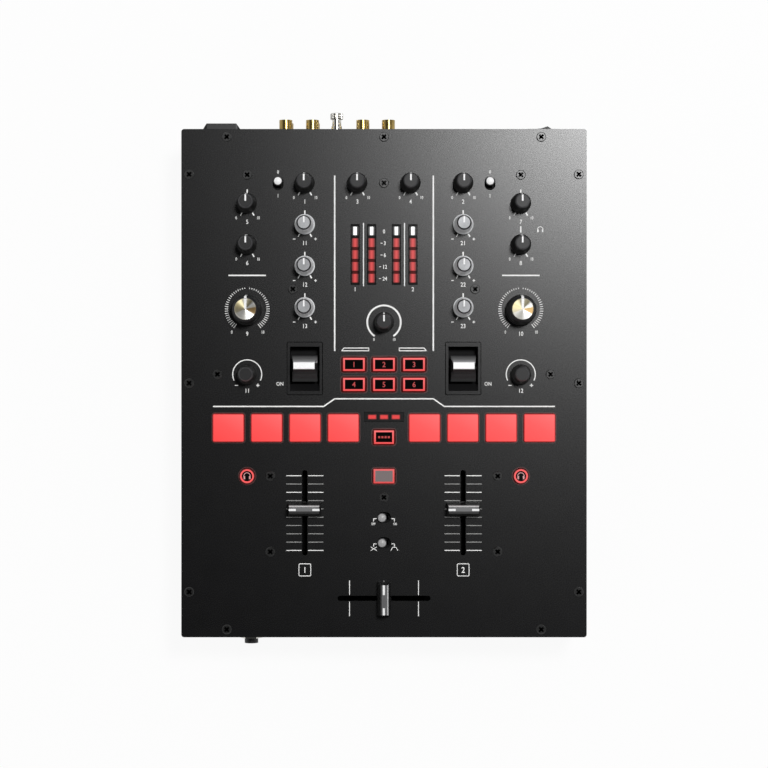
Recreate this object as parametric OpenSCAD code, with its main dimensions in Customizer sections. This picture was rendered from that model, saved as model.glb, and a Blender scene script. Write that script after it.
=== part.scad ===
// Two-channel table-top mixer: a folded steel case, a flat top panel and everything that is
// turned, slid, pressed or tilted on it. Millimetres, +Z up, +Y towards the rear sockets.

/* [Case] */
// Width of the top panel
panel_w = 254; // [250:1:290]
// Depth of the top panel, front to back
panel_d = 318.5; // [314:0.5:350]
// Thickness of the top panel
panel_t = 2; // [1.5:0.1:3]
// Radius of the panel's corners
panel_r = 1.8; // [1:0.1:5]
// Height of the folded case under the panel
case_h = 50; // [46:1:70]
// Thickness of the case's sheet steel
wall_t = 1.5; // [1:0.1:2]
// How far the panel stands out past the case walls
panel_lip = 0.5; // [0:0.1:1]
// Width of the flange that the panel lies on
flange_w = 10; // [8:0.5:10]
// Height of the rubber feet
foot_h = 5; // [3:0.5:12]
// Radius of a rubber foot
foot_r = 9; // [7:0.5:12]
// Distance of the feet from the case's edges
foot_inset = 20; // [16:1:30]
// Width of a slot in the case's floor
vent_w = 3; // [2:0.5:4]
// Length of a slot in the case's floor
vent_l = 36; // [20:1:50]
// Slots in each of the two rows
vent_count = 9; // [4:1:11]

/* [Screws] */
// Distance of the edge screws from the panel's edge
screw_edge = 5; // [4:0.1:5.5]
// Distance of the corner screws from the panel's corners, along the edge
screw_corner = 28.5; // [24:0.5:34]
// Radius of a screw's head
head_r = 3; // [2.5:0.1:3.4]
// Height of a screw's head
head_h = 0.9; // [0.6:0.1:2]
// Radius of a screw's shank
shank_r = 1.5; // [1.2:0.1:1.7]
// Radius of the spacers between the panel and the control board
spacer_r = 3; // [2.6:0.1:3.5]

/* [Boards] */
// Room between the panel and the control board
board_drop = 12; // [11:0.5:16]
// Thickness of the circuit boards
board_t = 1.6; // [1:0.1:2]
// Room between the control board and the case's side walls
board_gap = 3; // [2:0.5:8]
// Room for sockets between the control board and the case's front and rear walls
board_end_gap = 20.5; // [20:0.5:23]
// Width of the main board
main_w = 170; // [120:1:200]
// Depth of the main board
main_d = 110; // [80:1:150]
// Height of the posts under the main board
post_h = 6; // [4:0.5:9]

/* [Knob positions] */
// Distance of the channel knobs, paddles and faders from the centre line
channel_x = 49.6; // [48.5:0.1:50.5]
// Distance of the outer controls from the centre line
side_x = 85.7; // [85:0.1:88]
// Distance of the two level knobs from the centre line
level_x = 16.65; // [16:0.05:18]
// Row of the gain, booth and master knobs
gain_y = 125.4; // [124.5:0.1:126]
// Pitch of the channel knobs
knob_pitch = 26; // [25.5:0.1:26.2]
// Row of the tone and cue-mix knobs
side_y = 112.7; // [111.5:0.1:114]
// Pitch of the outer small knobs
side_pitch = 25.8; // [22:0.1:27]
// Row of the filter knobs
filter_y = 45.8; // [40:0.1:48]
// Row of the loop knobs
loop_y = 5.5; // [3:0.1:10]
// Row of the effect-level knob
fx_knob_y = 38.2; // [34:0.1:42]

/* [Knobs] */
// Radius of a small knob at its foot
knob_r = 6.3; // [5.6:0.1:6.6]
// Radius of a small knob's top
knob_top_r = 4.3; // [4:0.1:4.8]
// Height of a small knob
knob_h = 16; // [13:0.5:20]
// Radius of a filter knob at its foot
filter_r = 9.5; // [8.8:0.1:11]
// Radius of a filter knob's metal cap
filter_cap_r = 8; // [7.6:0.1:8.4]
// Height of a filter knob
filter_h = 17; // [14:0.5:20]
// Radius of a knob's shaft
shaft_r = 3; // [2.5:0.1:3.1]
// Radius of a pot's or encoder's bushing
bushing_r = 3.8; // [3.5:0.1:4.1]
// Side of a pot's square body
pot_w = 10; // [9.4:0.1:12]
// Height of a pot's body
pot_h = 6.5; // [5:0.1:8]
// Gap between a knob and the panel
knob_lift = 0.8; // [0.5:0.1:1.5]
// How far a loop knob can be pressed
loop_travel = 0.5; // [0.3:0.1:0.6]

/* [Paddles] */
// Row of the paddles' pivots
paddle_y = 9.2; // [8:0.1:11]
// Width of a paddle's bezel
bezel_w = 21.8; // [21:0.1:23]
// Depth of a paddle's bezel
bezel_d = 32.6; // [32:0.1:34]
// Thickness of the bezel's rim on the panel
bezel_t = 1.2; // [0.8:0.1:2]
// Width of a paddle
paddle_w = 15.7; // [12:0.1:16]
// Height of a paddle above the panel
paddle_h = 13; // [10:0.5:16]
// Width of the flat on a paddle's tip
tip_w = 13.1; // [10:0.1:15]
// Depth of the flat on a paddle's tip
paddle_tip = 4.2; // [3:0.1:5]
// Depth of the paddle's pivot under the panel's top
pivot_drop = 5.5; // [5.2:0.1:6]
// Radius of the paddle's pivot pins
pivot_r = 1.5; // [1.2:0.1:1.8]
// How far a paddle tilts each way, in degrees
paddle_tilt = 14; // [8:1:16]

/* [Faders] */
// Travel of the faders
fader_travel = 45; // [40:1:46]
// Centre of the channel faders' slots
fader_y = -81.2; // [-82:0.1:-80]
// Centre of the crossfader's slot
crossfader_y = -134.8; // [-135.5:0.1:-133]
// How far the channel faders stand above their middle
fader_rest = 2.3; // [-10:0.1:10]
// Width of a fader's slot
slot_w = 3.2; // [2.6:0.1:4]
// Width of a fader's metal body
fader_body_w = 13; // [12.5:0.1:15]
// Depth of a fader's metal body under the panel
fader_body_h = 10; // [9.8:0.1:10.6]
// Radius of a fader's guide rods
rod_r = 1; // [0.8:0.05:1.1]
// Thickness of a fader's stem
stem_t = 1.4; // [1:0.1:2]
// Width of a fader's cap across its travel
cap_w = 20.6; // [16:0.1:23]
// Length of a fader's cap along its travel
cap_l = 8.2; // [7.5:0.1:10]
// Height of a fader's cap
cap_h = 11; // [9:0.5:14]
// Length of the ridge on a fader's cap
ridge_l = 4.2; // [3:0.1:5]

/* [Slide switches] */
// Distance of the two input switches from the centre line
input_x = 66.4; // [66:0.1:67]
// Row of the input switches
input_y = 125.2; // [122:0.1:126]
// Row of the reverse switch
reverse_y = -84.2; // [-85:0.1:-83]
// Row of the slope switch
slope_y = -100; // [-101:0.1:-99]
// Diameter of a slide switch's cap
slide_d = 5.6; // [4.5:0.1:6]
// Travel of a slide switch
slide_travel = 2.5; // [2:0.1:3]
// Height of a slide switch's cap above the panel
slide_h = 3.4; // [2:0.1:5]

/* [Buttons] */
// Width of an effect button
fx_w = 15.6; // [12:0.1:16]
// Depth of an effect button
fx_d = 9.4; // [8:0.1:9.6]
// Pitch of the effect buttons across
fx_pitch_x = 18.8; // [18.6:0.1:19]
// Pitch of the effect buttons along
fx_pitch_y = 12.5; // [12.3:0.1:13]
// Upper row of the effect buttons
fx_y = 11.7; // [11:0.1:13]
// Width of a pad
pad_w = 19.6; // [16:0.1:20]
// Depth of a pad
pad_d = 17.6; // [14:0.1:18]
// Pitch of the pads
pad_pitch = 24; // [23.8:0.1:24.2]
// Distance of the innermost pads from the centre line
pad_x = 25.4; // [25.2:0.1:26]
// Row of the pads
pad_y = -28; // [-29:0.1:-27.5]
// Width of the two middle buttons
middle_w = 14; // [12:0.1:15]
// Depth of the two middle buttons
middle_d = 9.6; // [8:0.1:10]
// Row of the pad-mode button
mode_y = -33.8; // [-35:0.1:-33.5]
// Row of the tap button
tap_y = -58.2; // [-60:0.1:-54]
// Radius of a cue button
cue_r = 4.9; // [4.2:0.1:5.2]
// Row of the cue buttons
cue_y = -58.2; // [-60:0.1:-54]
// Height of the buttons above the panel
button_h = 2; // [1.6:0.1:3]
// Travel of the buttons
button_travel = 1; // [0.6:0.1:1.2]
// Width of the lit rim around a button's face
rim_w = 1.3; // [0.8:0.1:1.8]
// Radius of the buttons' corners
button_r = 1.3; // [0.6:0.1:2]

/* [Lamps] */
// Width of a level meter's window
meter_w = 5.3; // [5:0.1:6]
// Height of a level meter's window
meter_d = 37.7; // [37.2:0.1:40]
// Middle of the level meters
meter_y = 80.6; // [79:0.1:82]
// Distance of the inner meters from the centre line
meter_in_x = 7.75; // [7.5:0.05:8.5]
// Distance of the outer meters from the centre line
meter_out_x = 18.1; // [17.5:0.1:19]
// Segments in a level meter
meter_count = 5; // [3:1:5]
// Pitch of the segments
segment_pitch = 7.4; // [7:0.1:7.4]
// Width of a segment
segment_w = 4.2; // [3:0.1:4.4]
// Height of a segment
segment_d = 5.3; // [4:0.1:5.6]
// Width of the window over the three pad lamps
lamp_w = 24.6; // [23.5:0.1:26]
// Depth of the window over the three pad lamps
lamp_d = 5.8; // [5:0.1:6.2]
// Row of the three pad lamps
lamp_y = -21.2; // [-21.6:0.1:-20.5]

/* [Rear and front sockets] */
// Height of the single-row sockets over the case's floor
socket_z = 26; // [25:0.5:28]
// Height of the upper row of phono sockets over the case's floor
phono_z = 31; // [30:0.5:34]
// Pitch between the two rows of phono sockets
phono_pitch = 16; // [14:0.5:17]
// Radius of a phono socket's shell
phono_r = 4.15; // [4:0.05:4.3]
// How far a phono shell stands out of the wall
phono_l = 8.5; // [7:0.5:10]
// Width of the mic socket's face
mic_w = 24; // [22.5:0.5:25]
// How far the mic socket stands out of the wall
mic_l = 5.5; // [4:0.5:7]
// Radius of the hole for a quarter-inch plug
jack_r = 3.25; // [3.2:0.05:3.4]
// Radius of the headphone jack's bushing
jack_bush_r = 4.3; // [4.2:0.1:4.8]
// How far the headphone jack's bushing stands out of the wall
jack_l = 6.2; // [5:0.1:8]
// Radius of the balanced sockets' hollow
balanced_r = 9; // [8.8:0.1:9.4]
// Width of the power switch's frame
rocker_w = 21.2; // [19:0.1:22]
// Height of the power switch's frame
rocker_h = 15; // [13:0.1:18]
// How far the power switch's frame stands out of the wall
rocker_t = 2.8; // [2:0.1:4]
// How far the power rocker tilts each way, in degrees
rocker_tilt = 12; // [8:1:14]
// How far the ground screw stands out of the wall
ground_l = 12.8; // [11:0.1:15]
// Radius of the ground screw's knurled head
ground_r = 4.1; // [3.5:0.1:4.4]
// How far the ground screw can be backed off
ground_travel = 2.5; // [1.5:0.1:3]

/* [Clearances] */
// Running gap between a shaft or pin and its hole
run_gap = 0.05; // [0.02:0.01:0.1]
// Gap between pieces that move past each other
move_gap = 0.3; // [0.25:0.01:0.4]
// Gap between a fixed piece and the cut-out it sits in
fit_gap = 0.2; // [0.1:0.01:0.3]

/* [Hidden] */
$fn = 48;
cut = 1; // extra length of a cutting shape past the face it opens
// The outer controls, pads and end sockets spread with the panel's width
layout_w = 254;
spread = panel_w / layout_w;
channel_at = channel_x * spread;
side_at = side_x * spread;
input_at = input_x * spread;
pad_at = pad_x * spread;
pad_step = pad_pitch * spread;
pad_wide = pad_w * spread;
panel_z = foot_h + case_h;
top_z = panel_z + panel_t;
board_z = panel_z - board_drop;
case_w = panel_w - 2 * panel_lip;
case_d = panel_d - 2 * panel_lip;
case_r = max(panel_r - panel_lip, 0.5);
rear_y = case_d / 2;
front_y = -case_d / 2;
// The frame's origin is the middle of the footprint, sockets and ground screw included
base_y = (jack_l - ground_l) / 2;

pan_head_edge = 0.4;
spacer_bore_r = shank_r + run_gap;
screw_reach = 5;
main_y = rear_y - main_d / 2 - 18;

shaft_end = 1;
knob_edge = 0.6;
knob_wall = 1.3;
knob_skirt = 2.2;
hub_wall = 1.5;
pointer_w = 1;
pointer_up = 0.25;
loop_grip = 8;

plunger_r = 1.4;
tact_w = 6;
tact_h = 4.5;
keeper_t = 1.2;
keeper_lip = 1.1;
face_up = 0.3;
pad_chamfer = 0.5;

slide_side = 0.6;
slide_end = 0.25;
slide_stem = 2.6;
slide_case_t = 1;
slide_top = 1;
slide_floor = 2.5;

bezel_wall = 1;
bezel_cup_w = bezel_w - 1.2;
bezel_cup_d = bezel_d - 2;
barrel_r = 3;
cup_floor = 1.2;
cup_h = pivot_drop + barrel_r + move_gap + cup_floor;
tail_t = 2;
tail_w = 3;

fader_wall = 0.8;
rod_x = 4;
carriage_l = 9;
carriage_h = 5;
stem_l = 4;
end_room = 4.3;
slot_l = fader_travel + stem_l + 2 * 2.2;
fader_body_l = fader_travel + carriage_l + 2 * end_room;

socket_floor = foot_h + wall_t;
jack_depth = 16;
mic_body_r = 11;
pin_r = 1.2;
phono_collar = 0.45;
phono_step = 0.5;
ground_post_l = 4.5;
balanced_wall = 1.4;
rocker_side = 1.6;
rocker_deep = 10;
rocker_pivot = 4;
rocker_ridge = 4.2;
rocker_up = 1.3;

mic_x = -102.8 * spread;
headphone_x = -84.3 * spread;
rocker_x = 101.2 * spread;
inlet_x = rocker_x - 16.7;
usb_x = inlet_x - 13.5;
balanced_x = [usb_x - 46.5, usb_x - 21];
phono_x = [for (gap = [87, 70, 38, 21.7]) balanced_x[0] - gap];
ground_x = balanced_x[0] - 54.6;

sides = [-1, 1];
function row_y(i) = gain_y - i * knob_pitch;

// Every knob on a pot: name, x, y, and form (0 small and black, 1 small and silver, 2 filter)
pot_knobs = concat(
    [for (i = [0, 1]) [str("gain_knob_", i + 1), sides[i] * channel_at, row_y(0), 0]],
    [for (i = [0, 1]) [str("treble_knob_", i + 1), sides[i] * channel_at, row_y(1), 1]],
    [for (i = [0, 1]) [str("mid_knob_", i + 1), sides[i] * channel_at, row_y(2), 1]],
    [for (i = [0, 1]) [str("bass_knob_", i + 1), sides[i] * channel_at, row_y(3), 1]],
    [for (i = [0, 1]) [str("filter_knob_", i + 1), sides[i] * side_at, filter_y, 2]],
    [["booth_knob", -level_x, row_y(0), 0]],
    [["master_knob", level_x, row_y(0), 0]],
    [["tone_knob", -side_at, side_y, 0]],
    [["mic_knob", -side_at, side_y - side_pitch, 0]],
    [["cue_mix_knob", side_at, side_y, 0]],
    [["phones_knob", side_at, side_y - side_pitch, 0]],
    [["fx_knob", 0, fx_knob_y, 0]]
);
loop_spots = [for (s = sides) [s * side_at, loop_y]];

// Every rectangular button: name, x, y, width, depth, and whether it is a soft pad
keys = concat(
    [for (r = [0, 1], c = [0:2])
        [str("fx_button_", 3 * r + c + 1), (c - 1) * fx_pitch_x, fx_y - r * fx_pitch_y, fx_w, fx_d, false]],
    [for (i = [0:3]) [str("pad_", i + 1), -pad_at - (3 - i) * pad_step, pad_y, pad_wide, pad_d, true]],
    [for (i = [0:3]) [str("pad_", i + 5), pad_at + i * pad_step, pad_y, pad_wide, pad_d, true]],
    [["pad_mode_button", 0, mode_y, middle_w, middle_d, false]],
    [["tap_button", 0, tap_y, middle_w, middle_d, false]]
);
cue_spots = [for (s = sides) [s * side_at, cue_y]];
button_spots = concat([for (k = keys) [k[1], k[2]]], cue_spots);

// Slide switches: name, x, y, and the turn of the switch, 0 for front to back
slides = concat(
    [for (i = [0, 1]) [str("input_switch_", i + 1), sides[i] * input_at, input_y, 0]],
    [["reverse_switch", 0, reverse_y, 90]],
    [["slope_switch", 0, slope_y, 90]]
);

// Faders: name, x, y, turn, and where the cap rests along the slot
faders = concat(
    [for (i = [0, 1]) [str("channel_fader_", i + 1), sides[i] * channel_at, fader_y, 0, fader_rest]],
    [["crossfader", 0, crossfader_y, 90, 0]]
);
meter_xs = [-meter_out_x, -meter_in_x, meter_in_x, meter_out_x];

edge_x = panel_w / 2 - screw_edge;
edge_y = panel_d / 2 - screw_edge;
edge_screws = concat(
    [for (x = [-1, 1], y = [-1, 1]) [x * (panel_w / 2 - screw_corner), y * edge_y]],
    [[0, edge_y]],
    [for (x = sides, y = [-1, 0, 1]) [x * edge_x, y * (panel_d / 2 - screw_corner)]]
);
spacer_screws = concat(
    [for (s = sides) [s * side_at, side_y + 17.8]],
    [[0, row_y(0)]],
    [for (s = sides) [s * (channel_at + 7.5), row_y(3) + 11.5]],
    [for (s = sides) [s * (side_at + 18.6 * spread), loop_y]],
    [for (s = sides, y = [cue_y, fader_y - 24.4]) [s * (channel_at + 21.6 * spread), y]],
    [[0, (tap_y + reverse_y) / 2 - 0.3]]
);
foot_spots = [for (x = sides, y = sides) [x * (case_w / 2 - foot_inset), y * (case_d / 2 - foot_inset)]];
post_spots = [for (x = sides, y = sides) [x * (main_w / 2 - 6), main_y + y * (main_d / 2 - 6)]];

// Places its children on the mixer, from the middle of the top panel
module at(x, y, z = 0) {
    translate([x, y + base_y, z]) children();
}

// Turns its children so that their +Z points to the rear
module to_rear() {
    rotate([-90, 0, 0]) children();
}

// Turns its children so that their +Z points to the front
module to_front() {
    rotate([90, 0, 0]) children();
}

module rounded(w, d, r) {
    square([w - 2 * r, d], center = true);
    square([w, d - 2 * r], center = true);
    for (x = [-1, 1], y = [-1, 1])
        translate([x * (w / 2 - r), y * (d / 2 - r)]) circle(r);
}

module plate(w, d, h, r) {
    linear_extrude(h) rounded(w, d, r);
}

module block(w, d, h) {
    translate([-w / 2, -d / 2, 0]) cube([w, d, h]);
}

// A cutter for the panel: goes through it with room to spare
module through_panel() {
    translate([0, 0, panel_z - cut]) children();
}

module top_panel() {
    color([0.09, 0.09, 0.1]) difference() {
        at(0, 0, panel_z) plate(panel_w, panel_d, panel_t, panel_r);
        for (k = concat([for (p = pot_knobs) [p[1], p[2]]], loop_spots))
            at(k[0], k[1]) through_panel() cylinder(r = bushing_r + fit_gap, h = panel_t + 2 * cut);
        for (k = keys)
            at(k[1], k[2]) through_panel()
                plate(k[3] + 2 * move_gap, k[4] + 2 * move_gap, panel_t + 2 * cut, button_r + move_gap);
        for (c = cue_spots)
            at(c[0], c[1]) through_panel() cylinder(r = cue_r + move_gap, h = panel_t + 2 * cut);
        for (s = slides)
            at(s[1], s[2]) rotate([0, 0, s[3]]) through_panel() slide_slot(panel_t + 2 * cut);
        for (f = faders)
            at(f[1], f[2]) rotate([0, 0, f[3]]) through_panel()
                plate(slot_w, slot_l, panel_t + 2 * cut, slot_w / 2 - 0.1);
        for (s = sides)
            at(s * channel_at, paddle_y) through_panel()
                block(bezel_cup_w + 2 * fit_gap, bezel_cup_d + 2 * fit_gap, panel_t + 2 * cut);
        for (x = meter_xs)
            at(x, meter_y) through_panel()
                block(meter_w + 2 * fit_gap, meter_d + 2 * fit_gap, panel_t + 2 * cut);
        at(0, lamp_y) through_panel() block(lamp_w + 2 * fit_gap, lamp_d + 2 * fit_gap, panel_t + 2 * cut);
        for (s = concat(edge_screws, spacer_screws))
            at(s[0], s[1]) through_panel() cylinder(r = shank_r + run_gap, h = panel_t + 2 * cut);
    }
}

module case_tub() {
    inner_w = case_w - 2 * wall_t;
    inner_d = case_d - 2 * wall_t;
    inner_r = max(case_r - wall_t, 0.3);
    color([0.08, 0.08, 0.09]) difference() {
        union() {
            difference() {
                at(0, 0, foot_h) plate(case_w, case_d, case_h, case_r);
                at(0, 0, foot_h + wall_t) plate(inner_w, inner_d, case_h - 2 * wall_t, inner_r);
                at(0, 0, panel_z - wall_t - cut)
                    plate(case_w - 2 * flange_w, case_d - 2 * flange_w, wall_t + 2 * cut, 3);
            }
            for (p = post_spots)
                at(p[0], p[1], foot_h + wall_t / 2) cylinder(r = 3, h = post_h + wall_t / 2);
        }
        for (s = edge_screws)
            at(s[0], s[1], panel_z - wall_t - cut) cylinder(r = spacer_bore_r, h = wall_t + 2 * cut);
        for (f = foot_spots)
            at(f[0], f[1], foot_h - cut) cylinder(r = 3 + fit_gap, h = wall_t + 2 * cut);
        for (s = sides, i = [0:vent_count - 1])
            at((i - (vent_count - 1) / 2) * 4 * vent_w, s * case_d / 4, foot_h - cut)
                plate(vent_w, vent_l, wall_t + 2 * cut, vent_w / 2 - 0.1);
        rear_holes();
        at(headphone_x, front_y + wall_t + cut, socket_floor + socket_z + 6)
            to_front() cylinder(r = jack_bush_r + fit_gap, h = wall_t + 2 * cut);
    }
}

// The openings in the rear wall
module rear_holes() {
    hole_y = rear_y - wall_t - cut;
    hole_l = wall_t + 2 * cut;
    at(mic_x, hole_y, socket_floor + socket_z) to_rear() cylinder(r = mic_body_r + fit_gap, h = hole_l);
    for (x = phono_x, i = [0, 1])
        at(x, hole_y, socket_floor + phono_z - i * phono_pitch)
            to_rear() cylinder(r = phono_r + phono_collar + fit_gap, h = hole_l);
    at(ground_x, hole_y, socket_floor + phono_z) to_rear() cylinder(r = 3.4 + fit_gap, h = hole_l);
    for (x = balanced_x)
        at(x, hole_y, socket_floor + socket_z) to_rear() cylinder(r = balanced_r, h = hole_l);
    at(usb_x, hole_y, socket_floor + socket_z) to_rear() block(9, 8.4, hole_l);
    at(inlet_x, hole_y, socket_floor + socket_z) to_rear() block(9 + fit_gap, 11 + fit_gap, hole_l);
    at(rocker_x, hole_y, socket_floor + socket_z)
        to_rear() block(rocker_w - 2 * rocker_side + fit_gap, rocker_h - 2 * rocker_side + fit_gap, hole_l);
}

module feet() {
    color([0.05, 0.05, 0.05]) for (f = foot_spots)
        at(f[0], f[1]) rotate_extrude() polygon([
            [0, 0], [foot_r - 1.6, 0], [foot_r - 0.8, 0.6], [foot_r, foot_h],
            [3, foot_h], [3, foot_h + wall_t], [2.4, foot_h + wall_t + 1.5], [0, foot_h + wall_t + 1.5]
        ]);
}

// A cross-head screw whose head lies on the panel
module screw(reach) {
    difference() {
        rotate_extrude() polygon([
            [0, -reach], [shank_r, -reach], [shank_r, 0], [head_r, 0],
            [head_r, head_h - pan_head_edge], [head_r - pan_head_edge, head_h], [0, head_h]
        ]);
        for (a = [45, 135])
            rotate([0, 0, a]) translate([0, 0, head_h - 0.6]) block(head_r * 1.2, 0.8, 0.6 + cut);
    }
}

module panel_screws() {
    color([0.04, 0.04, 0.04]) {
        for (s = edge_screws) at(s[0], s[1], top_z) screw(panel_t + wall_t + 2);
        for (s = spacer_screws) at(s[0], s[1], top_z) screw(panel_t + screw_reach);
    }
}

// The control board with its spacers and switches, the main board, and the phono sockets' blocks
module circuit_boards() {
    color([0.05, 0.3, 0.15]) {
        at(0, 0, board_z - board_t)
            plate(case_w - 2 * (wall_t + board_gap), case_d - 2 * (wall_t + board_end_gap), board_t, 2);
        for (b = button_spots) at(b[0], b[1], board_z) tact_switch();
        for (s = slides) at(s[1], s[2], board_z) rotate([0, 0, s[3]]) slide_body();
        for (s = spacer_screws) at(s[0], s[1], board_z) spacer();
        for (s = sides) at(s * channel_at, paddle_y, board_z) paddle_sensor();
        at(0, main_y, foot_h + wall_t + post_h) plate(main_w, main_d, board_t, 2);
        for (x = phono_x) at(x, rear_y - wall_t, socket_floor + phono_z) phono_block();
    }
}

module tact_switch() {
    difference() {
        block(tact_w, tact_w, tact_h);
        translate([0, 0, -cut]) cylinder(r = plunger_r + run_gap, h = tact_h + 2 * cut);
    }
}

module spacer() {
    difference() {
        cylinder(r = spacer_r, h = board_drop);
        translate([0, 0, board_drop - screw_reach - 1]) cylinder(r = spacer_bore_r, h = screw_reach + 1 + cut);
    }
}

// Two light gates on the board, one each side of a paddle's tail
module paddle_sensor() {
    for (s = sides)
        translate([s * (tail_w / 2 + move_gap + 1.5), 0, 0]) block(3, 6, 2.4);
}

module slide_slot(h) {
    plate(slide_d + 2 * slide_side, slide_d + slide_travel + 2 * slide_end, h, slide_d / 2 + slide_side - 0.1);
}

// The body of a slide switch: a box with a trough for the stem
module slide_body() {
    body_h = board_drop - slide_top;
    difference() {
        block(slide_stem + 2 * (slide_case_t + move_gap) + 2,
            slide_stem + slide_travel + 2 * (slide_case_t + move_gap) + 2, body_h);
        translate([0, 0, slide_floor])
            block(slide_stem + 2 * move_gap, slide_stem + slide_travel + 2 * move_gap, body_h);
    }
}

// A slide switch's cap and stem at the end of its travel
module slide_knob() {
    dome = slide_d * 0.75;
    translate([0, slide_travel / 2, 0]) {
        translate([0, 0, board_z + slide_floor + move_gap])
            block(slide_stem, slide_stem, board_drop - slide_floor - move_gap + 0.5);
        intersection() {
            translate([0, 0, panel_z + 0.3]) cylinder(d = slide_d, h = panel_t - 0.3 + slide_h);
            translate([0, 0, top_z + slide_h - dome]) sphere(r = dome);
        }
        translate([0, 0, panel_z + 0.3]) cylinder(d = slide_d, h = panel_t - 0.3 + slide_h - 1.6);
    }
}

// The metal bodies of the pots, encoders and faders
module control_bodies() {
    color([0.35, 0.36, 0.38]) {
        for (k = pot_knobs) at(k[1], k[2], board_z) pot_body();
        for (k = loop_spots) at(k[0], k[1], board_z) pot_body();
        for (f = faders) at(f[1], f[2]) rotate([0, 0, f[3]]) fader_body();
    }
}

// A square body on the board with a bushing up through the panel
module pot_body() {
    difference() {
        union() {
            block(pot_w, pot_w, pot_h);
            cylinder(r = bushing_r, h = board_drop + panel_t);
        }
        translate([0, 0, shaft_end - 0.4]) cylinder(r = shaft_r + run_gap, h = board_drop + panel_t + cut);
    }
}

// A hollow tapered knob: a skirt, a sloping side, and a solid hub for the shaft
module knob_shell(foot, roof, foot_r, top_r, skirt) {
    hub_r = min(shaft_r + hub_wall, foot_r - knob_wall - 0.4);
    slope = (foot_r - 0.7 - top_r) / (roof - 2 * knob_edge - foot - skirt);
    hollow = min(roof - foot - skirt - 3, (foot_r - knob_wall - hub_r - 0.2) / slope);
    rotate_extrude() polygon([
        [0, foot + 1], [hub_r, foot + 1], [hub_r, foot + skirt + hollow],
        [foot_r - knob_wall - slope * hollow, foot + skirt + hollow],
        [foot_r - knob_wall, foot + skirt], [foot_r - knob_wall, foot],
        [foot_r, foot], [foot_r, foot + skirt - 0.3], [foot_r - 0.5, foot + skirt],
        [top_r + 0.2, roof - 2 * knob_edge], [top_r - knob_edge, roof], [0, roof]
    ]);
}

// A knob on its pot's shaft, with a raised pointer over its top and side
module pot_knob(foot_r, top_r, h, skirt) {
    foot = top_z + knob_lift;
    roof = foot + h;
    shaft_z = board_z + shaft_end;
    knob_shell(foot, roof, foot_r, top_r, skirt);
    translate([0, 0, shaft_z]) cylinder(r = shaft_r, h = foot + 2 - shaft_z);
    intersection() {
        translate([-pointer_w / 2, 0, foot + skirt]) cube([pointer_w, foot_r, h]);
        rotate_extrude() polygon([
            [0, roof - knob_wall], [top_r - 1, roof - knob_wall], [foot_r - 1.4, foot + skirt],
            [foot_r - 0.5 + pointer_up, foot + skirt], [top_r + 0.2 + pointer_up, roof - 2 * knob_edge],
            [top_r - knob_edge + 0.1, roof + pointer_up], [0, roof + pointer_up]
        ]);
    }
}

// The filter knob's spun cap: a bevelled ring around a dished disc
module filter_cap() {
    roof = top_z + knob_lift + filter_h;
    rotate_extrude() polygon([
        [0, roof - 2], [filter_cap_r - 0.4, roof - 2], [filter_cap_r, roof - 1.2],
        [filter_cap_r - 1.3, roof + 0.4], [filter_cap_r - 1.6, roof], [0, roof]
    ]);
}

module knob(k) {
    shade = k[3] == 1 ? [0.62, 0.63, 0.65] : [0.07, 0.07, 0.07];
    color(shade) at(k[1], k[2]) {
        if (k[3] < 2) pot_knob(knob_r, knob_top_r, knob_h, knob_skirt);
        if (k[3] == 2) pot_knob(filter_r, filter_cap_r - 0.1, filter_h - 0.6, 2 * knob_skirt);
        if (k[3] == 2) filter_cap();
    }
}

// The encoder's shaft slides down its bushing when the loop knob is pressed
module loop_shaft(i) {
    low = board_z + shaft_end + loop_travel;
    color([0.6, 0.6, 0.62]) at(loop_spots[i][0], loop_spots[i][1], low)
        cylinder(r = shaft_r, h = top_z + knob_lift + loop_grip - low);
}

module loop_knob(i) {
    foot = top_z + knob_lift + loop_travel;
    grip_z = top_z + knob_lift + loop_grip;
    color([0.07, 0.07, 0.07]) at(loop_spots[i][0], loop_spots[i][1]) difference() {
        knob_shell(foot, top_z + knob_lift + knob_h - 1, knob_r, knob_top_r, knob_skirt);
        translate([0, 0, foot]) cylinder(r = shaft_r + run_gap, h = grip_z + move_gap - foot);
    }
}

// What every button has under the panel: a flange that keeps it in, and the plunger of its switch
module button_foot(w, d) {
    low = board_z + button_travel + 0.3;
    keeper_z = panel_z - move_gap - keeper_t;
    translate([0, 0, low]) cylinder(r = plunger_r, h = keeper_z - low + 0.1);
    translate([0, 0, keeper_z]) plate(w + 2 * keeper_lip, d + 2 * keeper_lip, keeper_t, button_r);
}

module cap_block(w, d, h) {
    translate([0, 0, panel_z - move_gap]) plate(w, d, h, button_r);
}

module fx_key(w, d) {
    rise = panel_t + move_gap + button_h;
    button_foot(w, d);
    cap_block(w, d, rise - face_up);
    translate([0, 0, top_z + button_h - face_up - 0.1])
        plate(w - 2 * rim_w, d - 2 * rim_w, face_up + 0.1, max(button_r - rim_w / 2, 0.4));
}

// A soft pad: its top edges are bevelled all round
module pad_key(w, d) {
    rise = panel_t + move_gap + button_h;
    button_foot(w, d);
    intersection() {
        cap_block(w, d, rise);
        translate([0, d, panel_z - move_gap]) to_front() linear_extrude(2 * d) bevelled(w, rise);
        translate([-w, 0, panel_z - move_gap]) rotate([90, 0, 90]) linear_extrude(2 * w) bevelled(d, rise);
    }
}

// The outline of a bevelled slab seen from its end
module bevelled(w, h) {
    polygon([
        [-w / 2, 0], [w / 2, 0], [w / 2, h - pad_chamfer],
        [w / 2 - pad_chamfer, h], [-w / 2 + pad_chamfer, h], [-w / 2, h - pad_chamfer]
    ]);
}

module key(k) {
    shade = k[5] ? [0.95, 0.3, 0.32] : [0.55, 0.08, 0.08];
    color(shade) at(k[1], k[2]) {
        if (k[5]) pad_key(k[3], k[4]);
        if (!k[5]) fx_key(k[3], k[4]);
    }
}

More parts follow.
